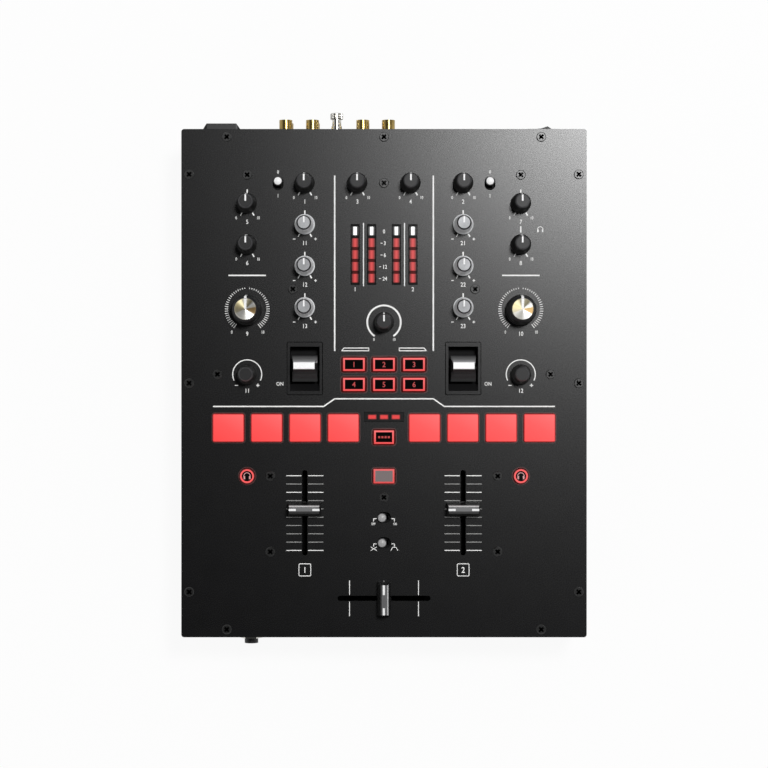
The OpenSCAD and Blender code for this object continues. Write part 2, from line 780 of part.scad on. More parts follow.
module cue_button(i) {
    low = board_z + button_travel + 0.3;
    keeper_z = panel_z - move_gap - keeper_t;
    color([0.8, 0.15, 0.15]) at(cue_spots[i][0], cue_spots[i][1]) rotate_extrude() polygon([
        [0, low], [plunger_r, low], [plunger_r, keeper_z], [cue_r + keeper_lip, keeper_z],
        [cue_r + keeper_lip, keeper_z + keeper_t], [cue_r, keeper_z + keeper_t],
        [cue_r, top_z + button_h - 0.4], [cue_r - 0.4, top_z + button_h],
        [cue_r - rim_w - 0.3, top_z + button_h], [cue_r - rim_w - 0.3, top_z + button_h - 0.4],
        [0, top_z + button_h - 0.4]
    ]);
}

module slide_switch(s) {
    color([0.93, 0.93, 0.93]) at(s[1], s[2]) rotate([0, 0, s[3]]) slide_knob();
}

// A pressed box hung under the panel, with two guide rods from end to end
module fader_body() {
    low = panel_z - fader_body_h;
    difference() {
        translate([0, 0, low]) block(fader_body_w, fader_body_l, fader_body_h);
        translate([0, 0, low + fader_wall])
            block(fader_body_w - 2 * fader_wall, fader_body_l - 2 * fader_wall, fader_body_h - 2 * fader_wall);
        translate([0, 0, low]) plate(slot_w, slot_l, fader_body_h + cut, slot_w / 2 - 0.1);
    }
    for (s = sides)
        translate([s * rod_x, -fader_body_l / 2 + fader_wall / 2, low + fader_body_h / 2])
            to_rear() cylinder(r = rod_r, h = fader_body_l - fader_wall);
}

// A carriage on the rods, a flat stem up through the slot, and a waisted cap
module fader_slider(f) {
    low = panel_z - fader_body_h;
    carriage_w = fader_body_w - 2 * fader_wall - 2 * move_gap;
    rotate([0, 0, f[3]]) translate([0, f[4], 0]) {
        difference() {
            translate([0, 0, low + (fader_body_h - carriage_h) / 2]) block(carriage_w, carriage_l, carriage_h);
            for (s = sides)
                translate([s * rod_x, -carriage_l, low + fader_body_h / 2])
                    to_rear() cylinder(r = rod_r + run_gap, h = 2 * carriage_l);
        }
        translate([0, 0, low + fader_body_h / 2 + carriage_h / 2 - 0.1])
            block(stem_t, stem_l, top_z + cap_h / 2 - low - (fader_body_h + carriage_h) / 2);
        fader_cap();
    }
}

module fader_cap() {
    base = top_z + knob_lift;
    scoop_r = 1.6 * cap_h;
    slope = (cap_l - ridge_l) / 2;
    difference() {
        intersection() {
            translate([-cap_w / 2, 0, base]) rotate([90, 0, 90]) linear_extrude(cap_w) polygon([
                [-cap_l / 2, 0], [cap_l / 2, 0], [cap_l / 2, 2], [ridge_l / 2 + 0.3, cap_h - 0.5],
                [ridge_l / 2, cap_h], [-ridge_l / 2, cap_h], [-ridge_l / 2 - 0.3, cap_h - 0.5], [-cap_l / 2, 2]
            ]);
            translate([0, cap_l, base]) to_front() linear_extrude(2 * cap_l) polygon([
                [-cap_w / 2, 0], [cap_w / 2, 0], [cap_w / 2, 3], [cap_w / 2 - 1, cap_h],
                [-cap_w / 2 + 1, cap_h], [-cap_w / 2, 3]
            ]);
        }
        for (s = sides)
            translate([-cap_w, s * (ridge_l / 2 + slope / 2 + scoop_r), base + cap_h / 2 + 1])
                rotate([0, 90, 0]) cylinder(r = scoop_r - slope / 4, h = 2 * cap_w);
    }
}

module fader(f) {
    color([0.3, 0.3, 0.31]) at(f[1], f[2]) fader_slider(f);
}

// The paddle bezels: a rim on the panel and a cup under it with the pivot's bearings
module paddle_bezels() {
    color([0.05, 0.05, 0.05]) for (s = sides)
        at(s * channel_at, paddle_y) difference() {
            union() {
                translate([0, 0, top_z]) plate(bezel_w, bezel_d, bezel_t, 1.2);
                translate([0, 0, top_z - cup_h]) block(bezel_cup_w, bezel_cup_d, cup_h + 0.1);
            }
            translate([-bezel_cup_w / 2 + bezel_wall, 0, top_z])
                rotate([90, 0, 90]) linear_extrude(bezel_cup_w - 2 * bezel_wall) bezel_hollow();
            translate([-bezel_w, 0, top_z - pivot_drop])
                rotate([0, 90, 0]) cylinder(r = pivot_r + run_gap, h = 2 * bezel_w);
            translate([0, 0, top_z - cup_h - cut])
                block(tail_w + 2 * move_gap, 2 * tail_swing() + tail_t + 2 * move_gap, cup_h);
        }
}

function tail_swing() = (cup_h - pivot_drop) * tan(paddle_tilt) + tail_t * (1 / cos(paddle_tilt) - 1);

// The hollow seen from the side: a steep rear wall and a ramp down from the front rim
module bezel_hollow() {
    rear = bezel_cup_d / 2 - 1.6;
    front = -bezel_cup_d / 2 + 1.2;
    low = -cup_h + cup_floor;
    polygon([
        [front, bezel_t + cut], [front, 0], [front + 4.4, -3], [front + 4.4, low], [rear, low],
        [rear, bezel_t + cut]
    ]);
}

// A paddle seen from behind: its sides lean in from just over the panel to the tip
module paddle_sides() {
    root_z = 2;
    lean = (paddle_w - tip_w) / 2 / (paddle_h - root_z);
    translate([0, paddle_w, top_z]) to_front() linear_extrude(2 * paddle_w) polygon([
        [-paddle_w / 2, -pivot_drop - cut], [paddle_w / 2, -pivot_drop - cut], [paddle_w / 2, root_z],
        [tip_w / 2 - lean * cut, paddle_h + cut], [lean * cut - tip_w / 2, paddle_h + cut], [-paddle_w / 2, root_z]
    ]);
}

// A paddle seen from the side is a tall wedge with a flat tip, hollowed for the finger
module paddle(s) {
    pivot_z = top_z - pivot_drop;
    tip_y = 1.6;
    color([0.1, 0.1, 0.1]) at(s * channel_at, paddle_y) {
        difference() {
            intersection() {
                translate([-paddle_w / 2, 0, top_z]) rotate([90, 0, 90]) linear_extrude(paddle_w) polygon([
                    [-barrel_r, -pivot_drop], [-6.8, 0.2], [-5.9, 2], [tip_y - paddle_tip / 2, paddle_h - 0.5],
                    [tip_y - paddle_tip / 2 + 0.5, paddle_h], [tip_y + paddle_tip / 2 - 0.5, paddle_h],
                    [tip_y + paddle_tip / 2, paddle_h - 0.5], [7.4, 2], [8.1, 0.2], [barrel_r, -pivot_drop]
                ]);
                paddle_sides();
            }
            for (e = [[-1, -27.5], [1, 30.2]])
                translate([-paddle_w, e[1], top_z + 0.7 * paddle_h])
                    rotate([0, 90, 0]) cylinder(r = 25.2, h = 2 * paddle_w);
        }
        translate([-paddle_w / 2, 0, pivot_z]) rotate([0, 90, 0]) cylinder(r = barrel_r, h = paddle_w);
        translate([-bezel_cup_w / 2, 0, pivot_z]) rotate([0, 90, 0]) cylinder(r = pivot_r, h = bezel_cup_w);
        translate([0, 0, board_z + 0.6]) block(tail_w, tail_t, pivot_z - board_z - 1);
    }
}

// Smoked windows in the panel and the light pipes that stand on the board under them
module meter_lamps() {
    color([0.7, 0.1, 0.1]) {
        for (x = meter_xs) at(x, meter_y) {
            difference() {
                translate([0, 0, panel_z]) block(meter_w, meter_d, panel_t - 0.2);
                for (i = [0:meter_count - 1])
                    translate([0, (i - (meter_count - 1) / 2) * segment_pitch, panel_z - cut])
                        block(segment_w + 0.1, segment_d + 0.1, panel_t + 2 * cut);
            }
            for (i = [0:meter_count - 1])
                translate([0, (i - (meter_count - 1) / 2) * segment_pitch, board_z])
                    block(segment_w, segment_d, board_drop + panel_t - 0.1);
        }
        at(0, lamp_y) {
            difference() {
                translate([0, 0, panel_z]) block(lamp_w, lamp_d, panel_t - 0.2);
                for (i = [-1:1])
                    translate([i * segment_pitch, 0, panel_z - cut])
                        block(segment_d + 0.1, 2.9 + 0.1, panel_t + 2 * cut);
            }
            for (i = [-1:1])
                translate([i * segment_pitch, 0, board_z]) block(segment_d, 2.9, board_drop + panel_t - 0.1);
        }
    }
}

// Everything that a plug goes into, and the frame of the power switch
module sockets() {
    color([0.06, 0.06, 0.06]) {
        at(mic_x, rear_y, socket_floor + socket_z) to_rear() mic_socket();
        for (x = phono_x) at(x, rear_y - wall_t, socket_floor + phono_z) phono_shells();
        at(ground_x, rear_y, socket_floor + phono_z) to_rear() ground_post();
        at(usb_x, rear_y - wall_t, socket_floor + socket_z) to_rear() usb_socket();
        at(inlet_x, rear_y, socket_floor + socket_z) to_rear() power_inlet();
        at(rocker_x, rear_y, socket_floor + socket_z) to_rear() rocker_frame();
        at(headphone_x, front_y, socket_floor + socket_z + 6) to_front() headphone_jack();
    }
}

// A face plate with chamfered edges on a round body, bored for a quarter-inch plug and three pins
module mic_socket() {
    difference() {
        union() {
            intersection() {
                plate(mic_w, mic_w + 2, mic_l, 3);
                translate([0, mic_w, 0]) rotate([90, 0, 0]) linear_extrude(2 * mic_w) polygon([
                    [-mic_w / 2, 0], [mic_w / 2, 0], [mic_w / 2, mic_l / 3], [mic_w / 2 - 2.6, mic_l],
                    [-mic_w / 2 + 2.6, mic_l], [-mic_w / 2, mic_l / 3]
                ]);
            }
            translate([0, 0, -jack_depth - 4]) cylinder(r = mic_body_r, h = jack_depth + 4.1);
        }
        translate([0, 0, -jack_depth]) cylinder(r = jack_r, h = jack_depth + mic_l + cut);
        for (a = [90, 210, 330])
            rotate([0, 0, a]) translate([6.6, 0, -jack_depth / 2])
                cylinder(r = pin_r + 0.2, h = jack_depth / 2 + mic_l + cut);
    }
}

module balanced_sockets() {
    color([0.06, 0.06, 0.06]) for (x = balanced_x)
        at(x, rear_y - wall_t, socket_floor + socket_z) to_rear() balanced_socket();
}

// The moulded block behind two phono sockets, one over the other, with their insulators
module phono_block() {
    block_h = phono_pitch + 2 * (phono_r + 2);
    difference() {
        union() {
            translate([-6.5, -14, phono_r + 2 - block_h]) cube([13, 14, block_h]);
            for (i = [0, 1])
                translate([0, 0, -i * phono_pitch]) to_rear() cylinder(r = phono_r - 1, h = wall_t + phono_l - 1);
        }
        for (i = [0, 1])
            translate([0, -10, -i * phono_pitch]) to_rear() cylinder(r = 1.7, h = 10 + wall_t + phono_l);
    }
}

// The metal shells of two phono sockets, each with a collar in its hole in the wall
module phono_shells() {
    for (i = [0, 1])
        translate([0, 0, -i * phono_pitch]) to_rear() difference() {
            union() {
                cylinder(r = phono_r + phono_collar, h = wall_t + phono_step);
                cylinder(r = phono_r, h = wall_t + phono_l);
            }
            translate([0, 0, -cut]) cylinder(r = phono_r - 1 + fit_gap, h = wall_t + phono_l + 2 * cut);
        }
}

// The fixed post that the ground screw turns in, with its nut inside the wall
module ground_post() {
    difference() {
        union() {
            cylinder(r = 3.35, h = ground_post_l);
            translate([0, 0, -wall_t - 3]) cylinder(r = 3.35, h = wall_t + 3.1);
            translate([0, 0, -wall_t - 2]) cylinder(r = 5, h = 2);
        }
        translate([0, 0, -wall_t - 3 - cut]) cylinder(r = 1.5 + run_gap, h = ground_post_l + wall_t + 3 + 2 * cut);
    }
}

// The screw that clamps the ground wire: a knurled head with a slim collar
module ground_screw() {
    head_l = 3.9;
    seat = ground_post_l + move_gap;
    neck = ground_l - head_l;
    color([0.75, 0.75, 0.77]) at(ground_x, rear_y, socket_floor + phono_z) to_rear() {
        difference() {
            rotate_extrude() polygon([
                [0, -wall_t - 2], [1.5, -wall_t - 2], [1.5, seat], [2.9, seat], [2.9, neck],
                [ground_r - 0.4, neck], [ground_r, neck + 0.4], [ground_r, ground_l - 0.4],
                [ground_r - 0.4, ground_l], [0, ground_l]
            ]);
            for (a = [0:20:340])
                rotate([0, 0, a]) translate([ground_r + 0.15, 0, neck - cut]) rotate([0, 0, 45])
                    block(0.5, 0.5, head_l + 2 * cut);
        }
    }
}

module balanced_socket() {
    depth = 15;
    difference() {
        translate([0, 0, -depth]) cylinder(r = balanced_r + balanced_wall, h = depth);
        translate([0, 0, 2 - depth]) cylinder(r = balanced_r - 0.4, h = depth);
    }
    for (a = [90, 210, 330])
        rotate([0, 0, a]) translate([4.6, 0, 1 - depth]) cylinder(r = pin_r, h = depth - 3);
}

module usb_socket() {
    difference() {
        translate([0, 0, -15]) block(12, 11, 15);
        translate([0, 0, -11]) block(8.6, 8, 11 + cut);
    }
    translate([0, 0, -13]) block(5.6, 3.2, 11);
}

module power_inlet() {
    difference() {
        union() {
            translate([0, 0, -14]) block(9, 11, 14);
            translate([0, 0, -wall_t - 3]) block(12, 13, 3);
        }
        translate([0, 0, -10]) cylinder(r = 2.9, h = 10 + cut);
    }
    translate([0, 0, -12]) cylinder(r = 1, h = 11);
}

// The switch frame: a rim on the wall around a box with bearings for the rocker
module rocker_frame() {
    box_w = rocker_w - 2 * rocker_side;
    box_h = rocker_h - 2 * rocker_side;
    difference() {
        union() {
            plate(rocker_w, rocker_h, rocker_t, 1.5);
            translate([0, 0, -rocker_deep - 1]) block(box_w, box_h, rocker_deep + 1.1);
        }
        translate([0, 0, -rocker_deep]) block(box_w - 2, box_h - 2, rocker_deep + rocker_t + cut);
        translate([0, 0, rocker_t - rocker_pivot])
            rotate([90, 0, 0]) cylinder(r = 1 + run_gap, h = rocker_h + 4, center = true);
    }
}

// The rocker at rest, its right-hand end out
module power_rocker() {
    half = (rocker_w - 2 * rocker_side - 2) / 2 - move_gap - 0.7;
    wide = rocker_h - 2 * rocker_side - 2 - 2 * move_gap;
    color([0.04, 0.04, 0.04]) at(rocker_x, rear_y + rocker_t - rocker_pivot, socket_floor + socket_z)
        rotate([0, 0, rocker_tilt]) {
            translate([0, 0, -wide / 2]) linear_extrude(wide) polygon([
                [-half, rocker_pivot - 1.6], [-rocker_ridge, rocker_pivot + rocker_up],
                [0, rocker_pivot + rocker_up - 0.5], [rocker_ridge, rocker_pivot + rocker_up],
                [half, rocker_pivot - 1.6], [2.6, -2.4], [-2.6, -2.4]
            ]);
            cylinder(r = 1, h = rocker_h - 2 * rocker_side, center = true);
        }
}

module headphone_jack() {
    difference() {
        union() {
            cylinder(r = 7, h = 3, $fn = 6);
            translate([0, 0, -wall_t]) cylinder(r = jack_bush_r, h = jack_l + wall_t);
            translate([0, 0, -wall_t - jack_depth - 2]) block(13, 15, jack_depth + 2);
        }
        translate([0, 0, -wall_t - jack_depth + 2]) cylinder(r = jack_r, h = jack_depth + jack_l + wall_t);
    }
}

top_panel();
case_tub();
feet();
panel_screws();
circuit_boards();
control_bodies();
paddle_bezels();
meter_lamps();
sockets();
balanced_sockets();
for (k = pot_knobs) knob(k);
for (i = [0, 1]) loop_knob(i);
for (i = [0, 1]) loop_shaft(i);
for (k = keys) key(k);
for (i = [0, 1]) cue_button(i);
for (s = slides) slide_switch(s);
for (f = faders) fader(f);
for (i = [0, 1]) paddle(sides[i]);
power_rocker();
ground_screw();
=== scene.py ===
# %% [markdown]
# # Dressing a two-channel mixer
# The mixer comes as finished solids: a folded steel case, a flat top panel, and every knob, pad,
# paddle and fader as a body of its own. Blender adds what solids don't carry: the finishes, the
# screen printing, the lit parts and the small trim. Every new piece rides on one of those bodies.

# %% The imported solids
import math

import bmesh
import bpy
from mathutils import Matrix, Vector


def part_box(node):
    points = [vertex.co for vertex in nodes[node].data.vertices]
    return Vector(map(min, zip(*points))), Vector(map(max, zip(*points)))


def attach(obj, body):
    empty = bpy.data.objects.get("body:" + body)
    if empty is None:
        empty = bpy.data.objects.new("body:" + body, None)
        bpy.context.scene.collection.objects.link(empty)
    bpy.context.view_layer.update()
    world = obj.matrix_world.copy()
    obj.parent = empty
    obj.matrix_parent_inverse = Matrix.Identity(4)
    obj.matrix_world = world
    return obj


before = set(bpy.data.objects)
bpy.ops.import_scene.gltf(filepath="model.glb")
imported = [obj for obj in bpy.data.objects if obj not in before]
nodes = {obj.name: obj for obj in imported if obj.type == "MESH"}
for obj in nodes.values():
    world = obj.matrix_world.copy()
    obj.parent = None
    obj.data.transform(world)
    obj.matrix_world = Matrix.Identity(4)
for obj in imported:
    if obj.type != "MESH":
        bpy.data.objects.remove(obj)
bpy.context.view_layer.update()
scene = bpy.context.scene

# %% [markdown]
# ## Places and sizes
# The panel was drawn from its own middle, while the whole part stands on the middle of its
# footprint, sockets included. The difference is one small shift towards the front. It is read
# from the panel's own box, so that every mark below can be given in panel millimetres.

# %% From panel millimetres to the part's metres
MM = 0.001
panel_low, panel_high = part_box("top_panel")
SHIFT = (panel_low.y + panel_high.y) / 2
TOP = panel_high.z


def middle(node):
    """The middle of a solid's box."""
    low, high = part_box(node)
    return (low + high) / 2


def top_of(node):
    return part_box(node)[1].z


def on_panel(x, y, z=0.0):
    """A point given in panel millimetres, with its height over the panel's top."""
    return Vector((x * MM, y * MM + SHIFT, TOP + z * MM))


print("panel top at", round(TOP * 1000, 2), "mm, shifted", round(SHIFT * 1000, 2), "mm")

# %% [markdown]
# Most controls stand in pairs, mirrored about the middle of the panel. Their distances from it
# and the rows that several marks share have names here, in panel millimetres.

# %% Columns and rows
CHANNEL_X = 49.6            # tone knobs, paddles and channel faders
SIDE_X = 85.7               # filter knobs, loop knobs and cue keys
METER_X = (7.75, 18.1)
KNOB_Y = 125.4              # the rear row of small knobs
FILTER_Y, PADDLE_Y, LOOP_Y = 45.8, 9.2, 5.5
KEY_X, KEY_Y = 18.8, (11.7, -0.8)
PAD_X, PAD_PITCH, PAD_Y = 25.4, 24.0, -28.0
MODE_Y, CUE_Y, CROSS_Y = -33.8, -58.2, -134.8
SIDES = (-1, 1)
print("columns at", CHANNEL_X, "and", SIDE_X, "mm from the middle")

# %% [markdown]
# ## The camera
# A product shot from straight above needs a long lens, because a short one would show the sides
# of every knob. The lens is worked out from how wide a strip of the panel the picture takes in.

# %% Camera over the panel
EYE, EYE_Y = 1.22, -0.00384     # height over the panel, and where the camera looks down
SEEN = 0.4812                   # width of the strip that the picture takes in
FILM = 36.0
camera = bpy.data.objects.new("camera", bpy.data.cameras.new("camera"))
camera.location = (0.0, EYE_Y, TOP + EYE)
camera.data.sensor_width = FILM
camera.data.lens = FILM * EYE / SEEN
scene.collection.objects.link(camera)
scene.camera = camera
print("lens", round(camera.data.lens, 1), "mm")

# %% [markdown]
# ## A helper for node materials
# A finish is a small network of nodes. One helper adds a node with its inputs, and another sets
# the shader, so that each finish reads as a list of what it is made of. Colours are written as
# the hex values of a colour picker, which are not linear, so one function turns them into light.

# %% Colours and nodes
def colour(code):
    """A hex colour as linear red, green, blue and alpha."""
    parts = [int(code[i:i + 2], 16) / 255 for i in (1, 3, 5)]
    return (*[c / 12.92 if c <= 0.04045 else ((c + 0.055) / 1.055) ** 2.4 for c in parts], 1.0)


def wire(mat, node, values):
    """Sets a node's inputs. Each gets a value, or a link from another node's output."""
    for name, value in values.items():
        if isinstance(value, bpy.types.NodeSocket):
            mat.node_tree.links.new(value, node.inputs[name])
        else:
            node.inputs[name].default_value = value


def add(mat, kind, values={}, **settings):
    """Adds one node, with its settings and its inputs."""
    node = mat.node_tree.nodes.new("ShaderNode" + kind)
    for name, value in settings.items():
        setattr(node, name, value)
    wire(mat, node, values)
    return node


def shade(mat, **sockets):
    """Sets inputs of the shader. shine is its specular level, and else _ stands for a space."""
    names = {key: "Specular IOR Level" if key == "shine" else key.replace("_", " ") for key in sockets}
    wire(mat, mat.node_tree.nodes["Principled BSDF"], {names[key]: sockets[key] for key in sockets})
    return mat


def blank(name, **sockets):
    """A new material with one shader."""
    mat = bpy.data.materials.new(name)
    mat.use_nodes = True
    return shade(mat, **sockets)


def per(size_mm):
    """The scale of a pattern whose features are this many millimetres wide."""
    return 1000.0 / size_mm


def maths(mat, operation, *values):
    """One step of arithmetic. Each value is a number or another step."""
    return add(mat, "Math", dict(enumerate(values)), operation=operation).outputs[0]


def off(mat, value, target):
    """How far a value is from a target, to either side."""
    return maths(mat, "ABSOLUTE", maths(mat, "SUBTRACT", value, target))


def length(mat, vector):
    return add(mat, "VectorMath", {0: vector}, operation="LENGTH").outputs["Value"]


def panel_place(mat):
    """Where a point of the surface is, in panel millimetres: across, along and up."""
    spot = add(mat, "TexCoord").outputs["Object"]
    scaled = add(mat, "VectorMath", {0: spot, 1: (1000, 1000, 1000), 2: (0, -SHIFT / MM, -TOP / MM)},
                 operation="MULTIPLY_ADD")
    parts = add(mat, "SeparateXYZ", {0: scaled.outputs[0]}).outputs
    return parts["X"], parts["Y"], parts["Z"]


def across(mat):
    return panel_place(mat)[0]


def along(mat):
    return panel_place(mat)[1]


def height(mat):
    return panel_place(mat)[2]


def away_from(mat, x, y, mirrored=False):
    """How far a point of the surface is from an axis at x, y, or from that and its mirror image."""
    here_x, here_y, _ = panel_place(mat)
    if mirrored:
        here_x = maths(mat, "ABSOLUTE", here_x)
    steps = {0: maths(mat, "SUBTRACT", here_x, x), 1: maths(mat, "SUBTRACT", here_y, y)}
    return length(mat, add(mat, "CombineXYZ", steps).outputs[0])


def ramp(mat, value, stops):
    """A colour that follows a value. Each stop is a value with its hex colour."""
    low, high = stops[0][0], stops[-1][0]
    share = add(mat, "MapRange", {"Value": value, "From Min": low, "From Max": high}).outputs[0]
    node = add(mat, "ValToRGB", {0: share})
    band = node.color_ramp.elements
    band[0].color, band[1].color = colour(stops[0][1]), colour(stops[-1][1])
    for at, code in stops[1:-1]:
        band.new((at - low) / (high - low)).color = colour(code)
    return node.outputs["Color"]


print("white is", [round(c, 2) for c in colour("#FFFFFF")])

# %% [markdown]
# ## Surfaces with a grain
# Moulded, sprayed and cast surfaces differ in grit, gloss and tone, but all have the same three
# parts: a tone that drifts a little, a fine grit that tilts the surface, and a gloss that follows
# the grit. One function builds that, and each finish gives it its own sizes.

# %% The grained surface
def grained(name, dark, light, grit, bump, rough, drift=14.0, **sockets):
    """Two close tones in soft clouds, grit of a size in mm, and roughness between two values."""
    mat = blank(name, **sockets)
    place = add(mat, "TexCoord").outputs["Object"]
    clouds = add(mat, "TexNoise", {"Vector": place, "Scale": per(drift), "Detail": 3.0}).outputs["Fac"]
    speck = add(mat, "TexNoise", {"Vector": place, "Scale": per(grit), "Detail": 2.0}).outputs["Fac"]
    both = maths(mat, "MULTIPLY", clouds, speck)
    share = add(mat, "MapRange", {"Value": both, "From Min": 0.12, "From Max": 0.40})
    tone = add(mat, "Mix", {0: share.outputs[0], 6: colour(dark), 7: colour(light)}, data_type="RGBA")
    gloss = add(mat, "MapRange", {"Value": speck, "To Min": rough[0], "To Max": rough[1]})
    tilt = add(mat, "Bump", {"Height": speck, "Strength": bump, "Distance": grit * MM * 0.2})
    return shade(mat, Base_Color=tone.outputs[2], Roughness=gloss.outputs[0], Normal=tilt.outputs[0])


def graded(name, stops, rough, follow=height, bump=0.06, **sockets):
    """A grained surface whose tone follows its height over the panel, or another value."""
    mat = grained(name, stops[0][1], stops[0][1], 0.6, bump, rough, **sockets)
    return shade(mat, Base_Color=ramp(mat, follow(mat), stops))


# %% [markdown]
# ## Powder-coated sheet steel
# The case and the panel are sprayed with a dry powder that melts into a satin black skin with a
# fine grit. It is almost black where it faces the dark ceiling, and has a soft sheen towards the
# lamp, so its gloss is fairly tight. The grit is drawn at 0.6 to 0.7 mm, a little coarser than the
# real one, because finer would vanish between the pixels.

# %% Powder coat
powder_coat = grained("black powder coat", "#030304", "#09090A", 0.6, 0.09, (0.21, 0.335), shine=0.43)
case_coat = grained("black powder coat on folded steel", "#0B0B0C", "#131314", 0.7, 0.12,
                    (0.34, 0.46), shine=0.25)

# %% [markdown]
# ## Moulded plastics and rubber
# Knobs, paddles and bezels are moulded ABS with a spark-eroded skin: matt and nearly black. The
# knobs' tops are turned smooth in the mould, so they catch more light than the sides, and they are
# also painted lighter, a painted sheen. Their shoulders are painted lighter still, a painted
# highlight. The feet are plain black rubber.

# %% Plastics
abs_side = grained("black ABS, spark-eroded", "#050505", "#0C0C0C", 0.5, 0.25, (0.5, 0.62), shine=0.3)
# A knob's top is painted lighter than its side, a painted sheen.
abs_top_painted_sheen = grained("black ABS, satin top with a painted sheen", "#141415", "#1D1D1E", 0.6, 0.08, (0.36, 0.44), shine=0.25)
abs_bezel = grained("black ABS bezel", "#0B0B0C", "#141415", 0.6, 0.12, (0.22, 0.34), shine=0.34)
abs_cup = grained("black ABS, inside a bezel", "#0E0E0F", "#141415", 0.6, 0.1, (0.55, 0.65), shine=0.1)
# A knob's shoulder is painted pale grey, a painted highlight.
abs_shoulder_painted_highlight = grained("black ABS shoulder with a painted highlight", "#363638", "#3E3E40", 0.6, 0.06, (0.38, 0.46),
                   shine=0.5)
# White ABS sends out a little light of its own, a painted glow that keeps it white.
abs_white_painted_glow = grained("white ABS with a painted glow", "#E4E4E4", "#F6F6F6", 0.8, 0.05, (0.34, 0.42),
                    Emission_Color=colour("#FFFFFF"), Emission_Strength=0.12)
pbt_black = grained("black PBT socket housing", "#08080A", "#101012", 0.5, 0.2, (0.42, 0.55))
rubber = grained("black rubber", "#0B0B0B", "#141414", 0.9, 0.3, (0.7, 0.85), shine=0.3)
board_black = grained("glass-epoxy board under black mask", "#050505", "#0B0B0B", 1.2, 0.1,
                      (0.5, 0.6), 6.0, shine=0.1)
print(len(bpy.data.materials), "materials so far")

# %% [markdown]
# ## Metals
# A metal shows its surroundings rather than a colour of its own, so its roughness and its tiny
# scratches matter most. The pots and guide rods are plated steel, the phono shells are brass
# under thin gold, and the screws are blackened steel, which looks almost like dark plastic.

# %% Plated and blackened metals
plated_steel = grained("zinc-plated steel", "#9EA0A3", "#C2C4C6", 0.6, 0.12, (0.26, 0.38), Metallic=1.0)
nickel = grained("nickel-plated brass", "#A9A8A4", "#D4D2CC", 0.5, 0.08, (0.16, 0.26), Metallic=1.0)
gold = grained("gold-plated brass", "#8A7645", "#B8A064", 0.5, 0.06, (0.2, 0.3), Metallic=1.0)
black_steel = grained("black-oxide steel", "#0E0E0E", "#161616", 0.5, 0.12, (0.24, 0.36), shine=0.5)
# A near black with no shine, painted shade for recesses, gaps and slots that lie in shadow.
shade_black = grained("near-black painted shade", "#010101", "#030303", 0.5, 0.1, (0.8, 0.9), shine=0.0)

# %% [markdown]
# ## Satin silver paint
# The tone knobs are sprayed with a silver paint: tiny aluminium flakes in a clear binder. Flakes
# lie at slightly different angles, so the paint sparkles a little and never mirrors. A shader
# that is part metal and part binder gives that.

# %% Silver paint
silver_paint = grained("silver paint on ABS", "#7A7B7D", "#9C9D9F", 0.35, 0.3, (0.34, 0.46), 9.0,
                       Metallic=0.3)
# The side is painted much paler than the top, a painted sheen.
silver_side_painted_sheen = grained("silver paint, side with a painted sheen", "#CCCDCF", "#E6E7E8", 0.35, 0.2, (0.28, 0.38), 9.0,
                      Metallic=0.1)
# The shoulder between side and top is painted dark, a painted shade.
silver_shoulder_painted_shade = grained("silver paint, shoulder with a painted shade", "#1C1D1F", "#2E2F31", 0.35, 0.2, (0.34, 0.44), 9.0,
                      Metallic=0.45)

# %% [markdown]
# ## Screen-printing ink
# All marks on the panel are one pass of off-white ink through a mesh screen. The screen leaves a
# faint grid of thicker and thinner ink, so the tone is not quite even. The layer is drawn 0.03 mm
# thick, so that it catches light at its edge as real ink does. The thin ink is for the rulings
# that are printed faintly.

# %% Ink
# The ink sends out a little light of its own, a painted glow that keeps it white.
ink = grained("off-white screen ink", "#D2D2D0", "#F2F2F0", 0.5, 0.1, (0.5, 0.6), 5.0,
              Emission_Color=colour("#FFFFFF"), Emission_Strength=0.15)
dim_ink = grained("thin off-white screen ink", "#7E7E7D", "#A0A09E", 0.5, 0.1, (0.5, 0.6), 5.0)
pointer_paint = grained("white pad-printed pointer", "#E4E4E4", "#FBFBFB", 0.6, 0.05, (0.4, 0.5))

# %% [markdown]
# ## Lit silicone and acrylic
# The pads are soft silicone with red lamps beneath, so they glow from within. That needs light of
# their own on top of the body colour, which is kept darker so that the sum comes out right. Their
# light is painted a little paler towards the rear right, a painted highlight, and their sides are
# painted darker towards the gap round them, a painted shade.

# %% Parts that glow
def glowing(name, body, light, strength, rough, grit=0.9, bump=0.05, **sockets):
    """A grained surface that also sends out light of its own."""
    return grained(name, body, body, grit, bump, rough, Emission_Color=colour(light),
                   Emission_Strength=strength, **sockets)


def lit(mat, light_colour=None, share=None):
    """Lets the light's colour, and the share of it that gets out, change over the surface."""
    if light_colour:
        shade(mat, Emission_Color=light_colour)
    if share:
        full = mat.node_tree.nodes["Principled BSDF"].inputs["Emission Strength"].default_value
        shade(mat, Emission_Strength=maths(mat, "MULTIPLY", share, full))
    return mat


def pad_highlight_slant(mat):
    """Runs across each pad from its front left to its rear right, in mm from its middle, for a painted
    highlight.
    """
    x, y, _ = panel_place(mat)
    first = maths(mat, "MULTIPLY", maths(mat, "SIGN", x), PAD_X)
    in_pad = maths(mat, "WRAP", maths(mat, "SUBTRACT", x, first), PAD_PITCH / 2, -PAD_PITCH / 2)
    return maths(mat, "MULTIPLY_ADD", in_pad, 0.6, maths(mat, "SUBTRACT", y, PAD_Y))


pad_silicone = glowing("red silicone, lit from below", "#A82A2A", "#FF4040", 0.62, (0.42, 0.54), bump=0.12)
# The pads' light is painted paler towards the rear right, a painted highlight.
lit(pad_silicone, ramp(pad_silicone, pad_highlight_slant(pad_silicone),
                       [(-13, "#FF2E2E"), (0, "#FF4848"), (13, "#FF6C6C")]))
